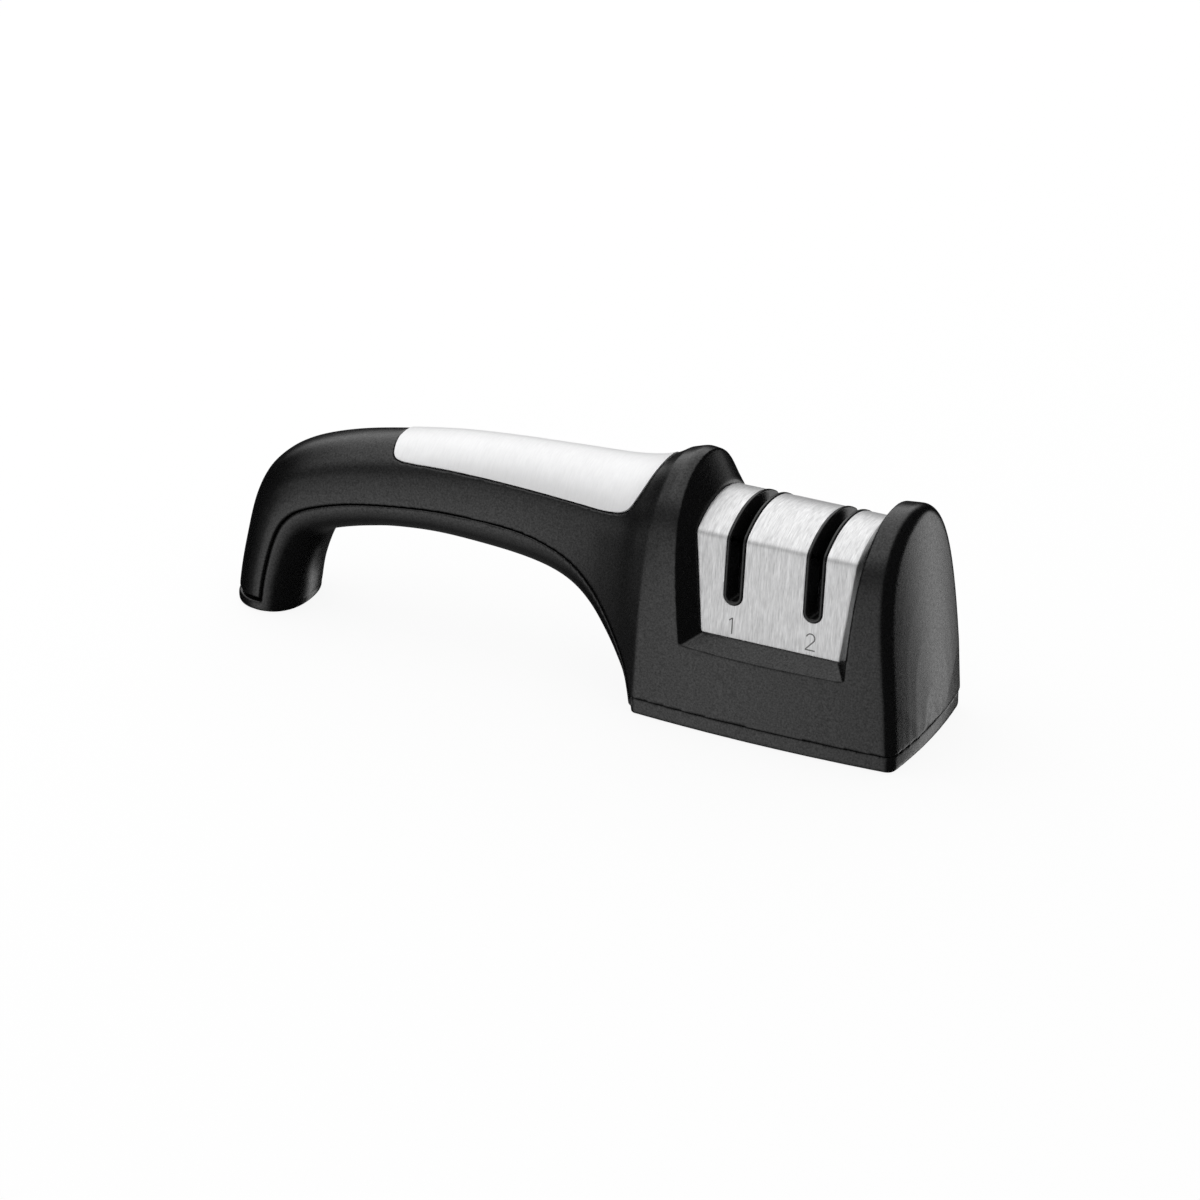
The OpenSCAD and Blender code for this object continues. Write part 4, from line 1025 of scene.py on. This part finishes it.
BLACK = moulded("black_plastic", (0.004, 0.004, 0.0042), 0.25, grain=1.0, specular=0.5)
LIP_BLACK = moulded("lip_plastic", (0.005, 0.005, 0.0052), 0.3, grain=0.4, specular=0.5)
INNER = moulded("inner_plastic", (0.006, 0.006, 0.0062), 0.55)
RUBBER = moulded("pad_rubber", (0.012, 0.012, 0.012), 0.75, grain=1.4, specular=0.3)
GLUE = moulded("adhesive", (0.01, 0.01, 0.01), 0.8, grain=0.5)
COVER = brushed("brushed_cover", (0.9, 0.9, 0.905), 0.42, fine=1.0, dark=0.7, metallic=0.8)
INLAY = brushed("brushed_inlay", (0.9, 0.9, 0.905), 0.5, fine=0.3, dark=0.94, metallic=0.5)
ZINC = machined("zinc_plated", (0.55, 0.55, 0.56), 0.35)
PIN = machined("ground_pin", (0.62, 0.62, 0.63), 0.22)
GRIT = gritty("diamond_grit")
INK = etched("etched_mark")


def dress(obj, mat):
    obj.data.materials.clear()
    obj.data.materials.append(mat)


def add(obj, mat, slot, *replaced, body="frame"):
    dress(obj, mat)
    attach(obj, body)
    if replaced:
        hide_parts(*replaced)
    return obj


SLOT_OF = {part["node"]: part["material_slot"] for part in frame["record"]["subparts"]}

for names, mat in (
    (("base_pad", "foot_pad"), RUBBER),
    (("inlay_adhesive", "cover_adhesive"), GLUE),
    (("wheel_carrier", "coarse_hub", "fine_hub"), INNER),
    (("carrier_screws", "base_screws", "grip_screws", "axle_clips", "coarse_washers", "fine_washers"), ZINC),
    (("coarse_axle", "fine_axle"), PIN),
    (("coarse_wheel_left", "coarse_wheel_right", "fine_wheel_left", "fine_wheel_right"), GRIT),
):
    for n in names:
        dress(nodes[n], mat)
        smooth_by_angle(nodes[n], SMOOTH_ANGLE)

for build, mat, node in (
    (upper_shell, BLACK, "upper_housing"),
    (lower_shell, BLACK, "lower_housing"),
    (cover_plate, COVER, "steel_cover"),
    (slot_liner, LIP_BLACK, "slot_guide"),
    (inlay_plate, INLAY, "grip_inlay"),
):
    add(build(), mat, SLOT_OF[node], node)
add(numeral("numeral_1", numeral_one()), INK, SLOT_OF["steel_cover"])
add(numeral("numeral_2", numeral_two()), INK, SLOT_OF["steel_cover"])


# Stage, light, camera. Half side of the floor, and how far it lies under the pads, in millimetres.
FLOOR_HALF, FLOOR_GAP = 4000, 0.03
FLOOR_TONE, FLOOR_WHITE_SHARE, DIFFUSE_WORLD = 0.93, 0.9, 0.8
# Levels round the X axis, in degrees from the back horizon over the top
ARCH = [
    (0, 0.0), (12, 0.15), (22, 1.35), (125, 1.35), (138, 0.8), (147, 0.32), (154, 0.26), (162, 0.38),
    (169, 0.7), (182, 1.0), (193, 1.2), (214, 1.35), (235, 0.6), (262, 0.12), (330, 0.05), (360, 0.0),
]
# Levels along X above and below the horizon, and where the one gives way to the other along Z
WIDTH = [
    (-1, 0.0), (-0.9, 0.0), (-0.82, 0.3), (-0.7, 0.95), (-0.28, 1.0), (-0.12, 0.7), (0.02, 0.2), (0.14, 0.0),
]
WIDTH_LOW = [
    (-1, 0.0), (-0.75, 0.1), (-0.6, 0.7), (-0.5, 0.95), (-0.4, 1.0), (-0.28, 0.75), (-0.1, 0.45), (0.1, 0.0),
]
BELOW = [(-1, 1.0), (-0.1, 1.0), (0.06, 0.0), (1, 0.0)]
# Levels of the card, in degrees round Z from +X towards +Y, and along Z
CARD_TURN = [
    (0, 0.0), (52, 0.0), (56, 0.3), (59, 1.0), (62, 1.65), (69, 1.8), (71.5, 0.8), (75, 0.0), (360, 0.0),
]
CARD_RISE = [(-1, 0.0), (-0.72, 0.0), (-0.6, 1.0), (-0.2, 1.0), (-0.05, 0.0), (1, 0.0)]
# What the camera and the softboxes aim at. Then azimuth and elevation in degrees, distance in metres,
# and a softbox's width and height
TARGET = Vector((13.83, -17.8, 30.0)) * MM
CAMERA_PLACE = (26.245, 27.102, 1.8439)
SOFTBOXES = {"top": (-90, 62, 0.9, 0.8, 0.8), "back": (-154, 29, 1.1, 1.3, 0.55)}
# Sensor in millimetres, and focal length of the fitted camera over the photo's width, in pixels
SENSOR_W, FOCAL_PX, PHOTO_PX = 36.0, 6920.6, 1200


def stage_floor():
    corners = [(x * FLOOR_HALF, y * FLOOR_HALF, -FLOOR_GAP) for x, y in ((-1, -1), (1, -1), (1, 1), (-1, 1))]
    floor = new_object("floor", corners, [(0, 1, 2, 3)])
    mat = bpy.data.materials.new("pale_floor")
    mat.use_nodes = True
    tree = mat.node_tree
    tree.nodes.clear()
    matt = add_node(tree, "BsdfDiffuse", Color=(FLOOR_TONE, FLOOR_TONE, FLOOR_TONE, 1))
    white = add_node(tree, "Emission", Color=(1, 1, 1, 1))
    seen = add_node(tree, "LightPath").outputs["Is Camera Ray"]
    both = add_node(tree, "MixShader", Fac=math_node(tree, "MULTIPLY", seen, FLOOR_WHITE_SHARE))
    tree.links.new(matt.outputs["BSDF"], both.inputs[1])
    tree.links.new(white.outputs["Emission"], both.inputs[2])
    add_node(tree, "OutputMaterial", Surface=both.outputs["Shader"])
    floor.data.materials.append(mat)
    floor.visible_glossy = False


def studio_world():
    """Studio round the part: a white canopy that arches over it from the back to the front left, a pale
    floor at the front left, a bright card low at the back right, and dark flats between them."""
    world = bpy.data.worlds.new("studio")
    bpy.context.scene.world = world
    world.use_nodes = True
    tree = world.node_tree
    back = tree.nodes["Background"]
    split = add_node(tree, "SeparateXYZ", Vector=add_node(tree, "TexCoord").outputs["Generated"])
    x, y, z = (split.outputs[axis] for axis in "XYZ")

    def round_axis(up, across, table):
        turn = math_node(tree, "DIVIDE", math_node(tree, "ARCTAN2", up, across), 2 * math.pi)
        stops = [(degrees / 360, level) for degrees, level in table]
        return ramp(tree, math_node(tree, "FRACT", turn), stops)

    def along(axis, table):
        return ramp(tree, math_node(tree, "MULTIPLY_ADD", axis, 0.5, 0.5),
                    [((at + 1) / 2, level) for at, level in table])

    high, low = along(x, WIDTH), along(x, WIDTH_LOW)
    width = math_node(tree, "MULTIPLY_ADD", math_node(tree, "SUBTRACT", low, high), along(z, BELOW), high)
    studio = math_node(tree, "MULTIPLY", round_axis(z, y, ARCH), width)
    card = math_node(tree, "MULTIPLY", round_axis(y, x, CARD_TURN), along(z, CARD_RISE))
    studio = math_node(tree, "ADD", studio, card)
    path = add_node(tree, "LightPath")
    strength = DIFFUSE_WORLD
    for rays, value in (("Is Glossy Ray", studio), ("Is Camera Ray", 1.0)):
        mixed = add_node(tree, "Mix", Factor=path.outputs[rays], A=strength, B=value)
        strength = mixed.outputs["Result"]
    tree.links.new(strength, back.inputs["Strength"])
    back.inputs["Color"].default_value = (1, 1, 1, 1)


def aim(obj, azimuth, elevation, distance):
    """Links an object at a distance from the target and turns it there."""
    azimuth, elevation = math.radians(azimuth), math.radians(elevation)
    way = Vector((math.sin(azimuth) * math.cos(elevation),
                  -math.cos(azimuth) * math.cos(elevation), math.sin(elevation)))
    bpy.context.scene.collection.objects.link(obj)
    obj.location = TARGET + way * distance
    obj.rotation_euler = (-way).to_track_quat("-Z", "Y").to_euler()


def softbox(name, azimuth, elevation, distance, width, height):
    """Rectangular lamp that faces the part, as bright as white."""
    light = bpy.data.lights.new(name, "AREA")
    light.shape, light.size, light.size_y = "RECTANGLE", width, height
    light.energy = math.pi * width * height
    obj = bpy.data.objects.new(name, light)
    obj.visible_camera = False
    obj.visible_glossy = False
    aim(obj, azimuth, elevation, distance)


stage_floor()
studio_world()
for name, place in SOFTBOXES.items():
    softbox(name, *place)

lens = bpy.data.cameras.new("camera")
lens.sensor_width, lens.sensor_fit, lens.lens = SENSOR_W, "HORIZONTAL", SENSOR_W * FOCAL_PX / PHOTO_PX
lens.clip_start, lens.clip_end = 0.05, 20
camera = bpy.data.objects.new("camera", lens)
aim(camera, *CAMERA_PLACE)
bpy.context.scene.camera = camera
bpy.context.scene.view_settings.view_transform = "Standard"
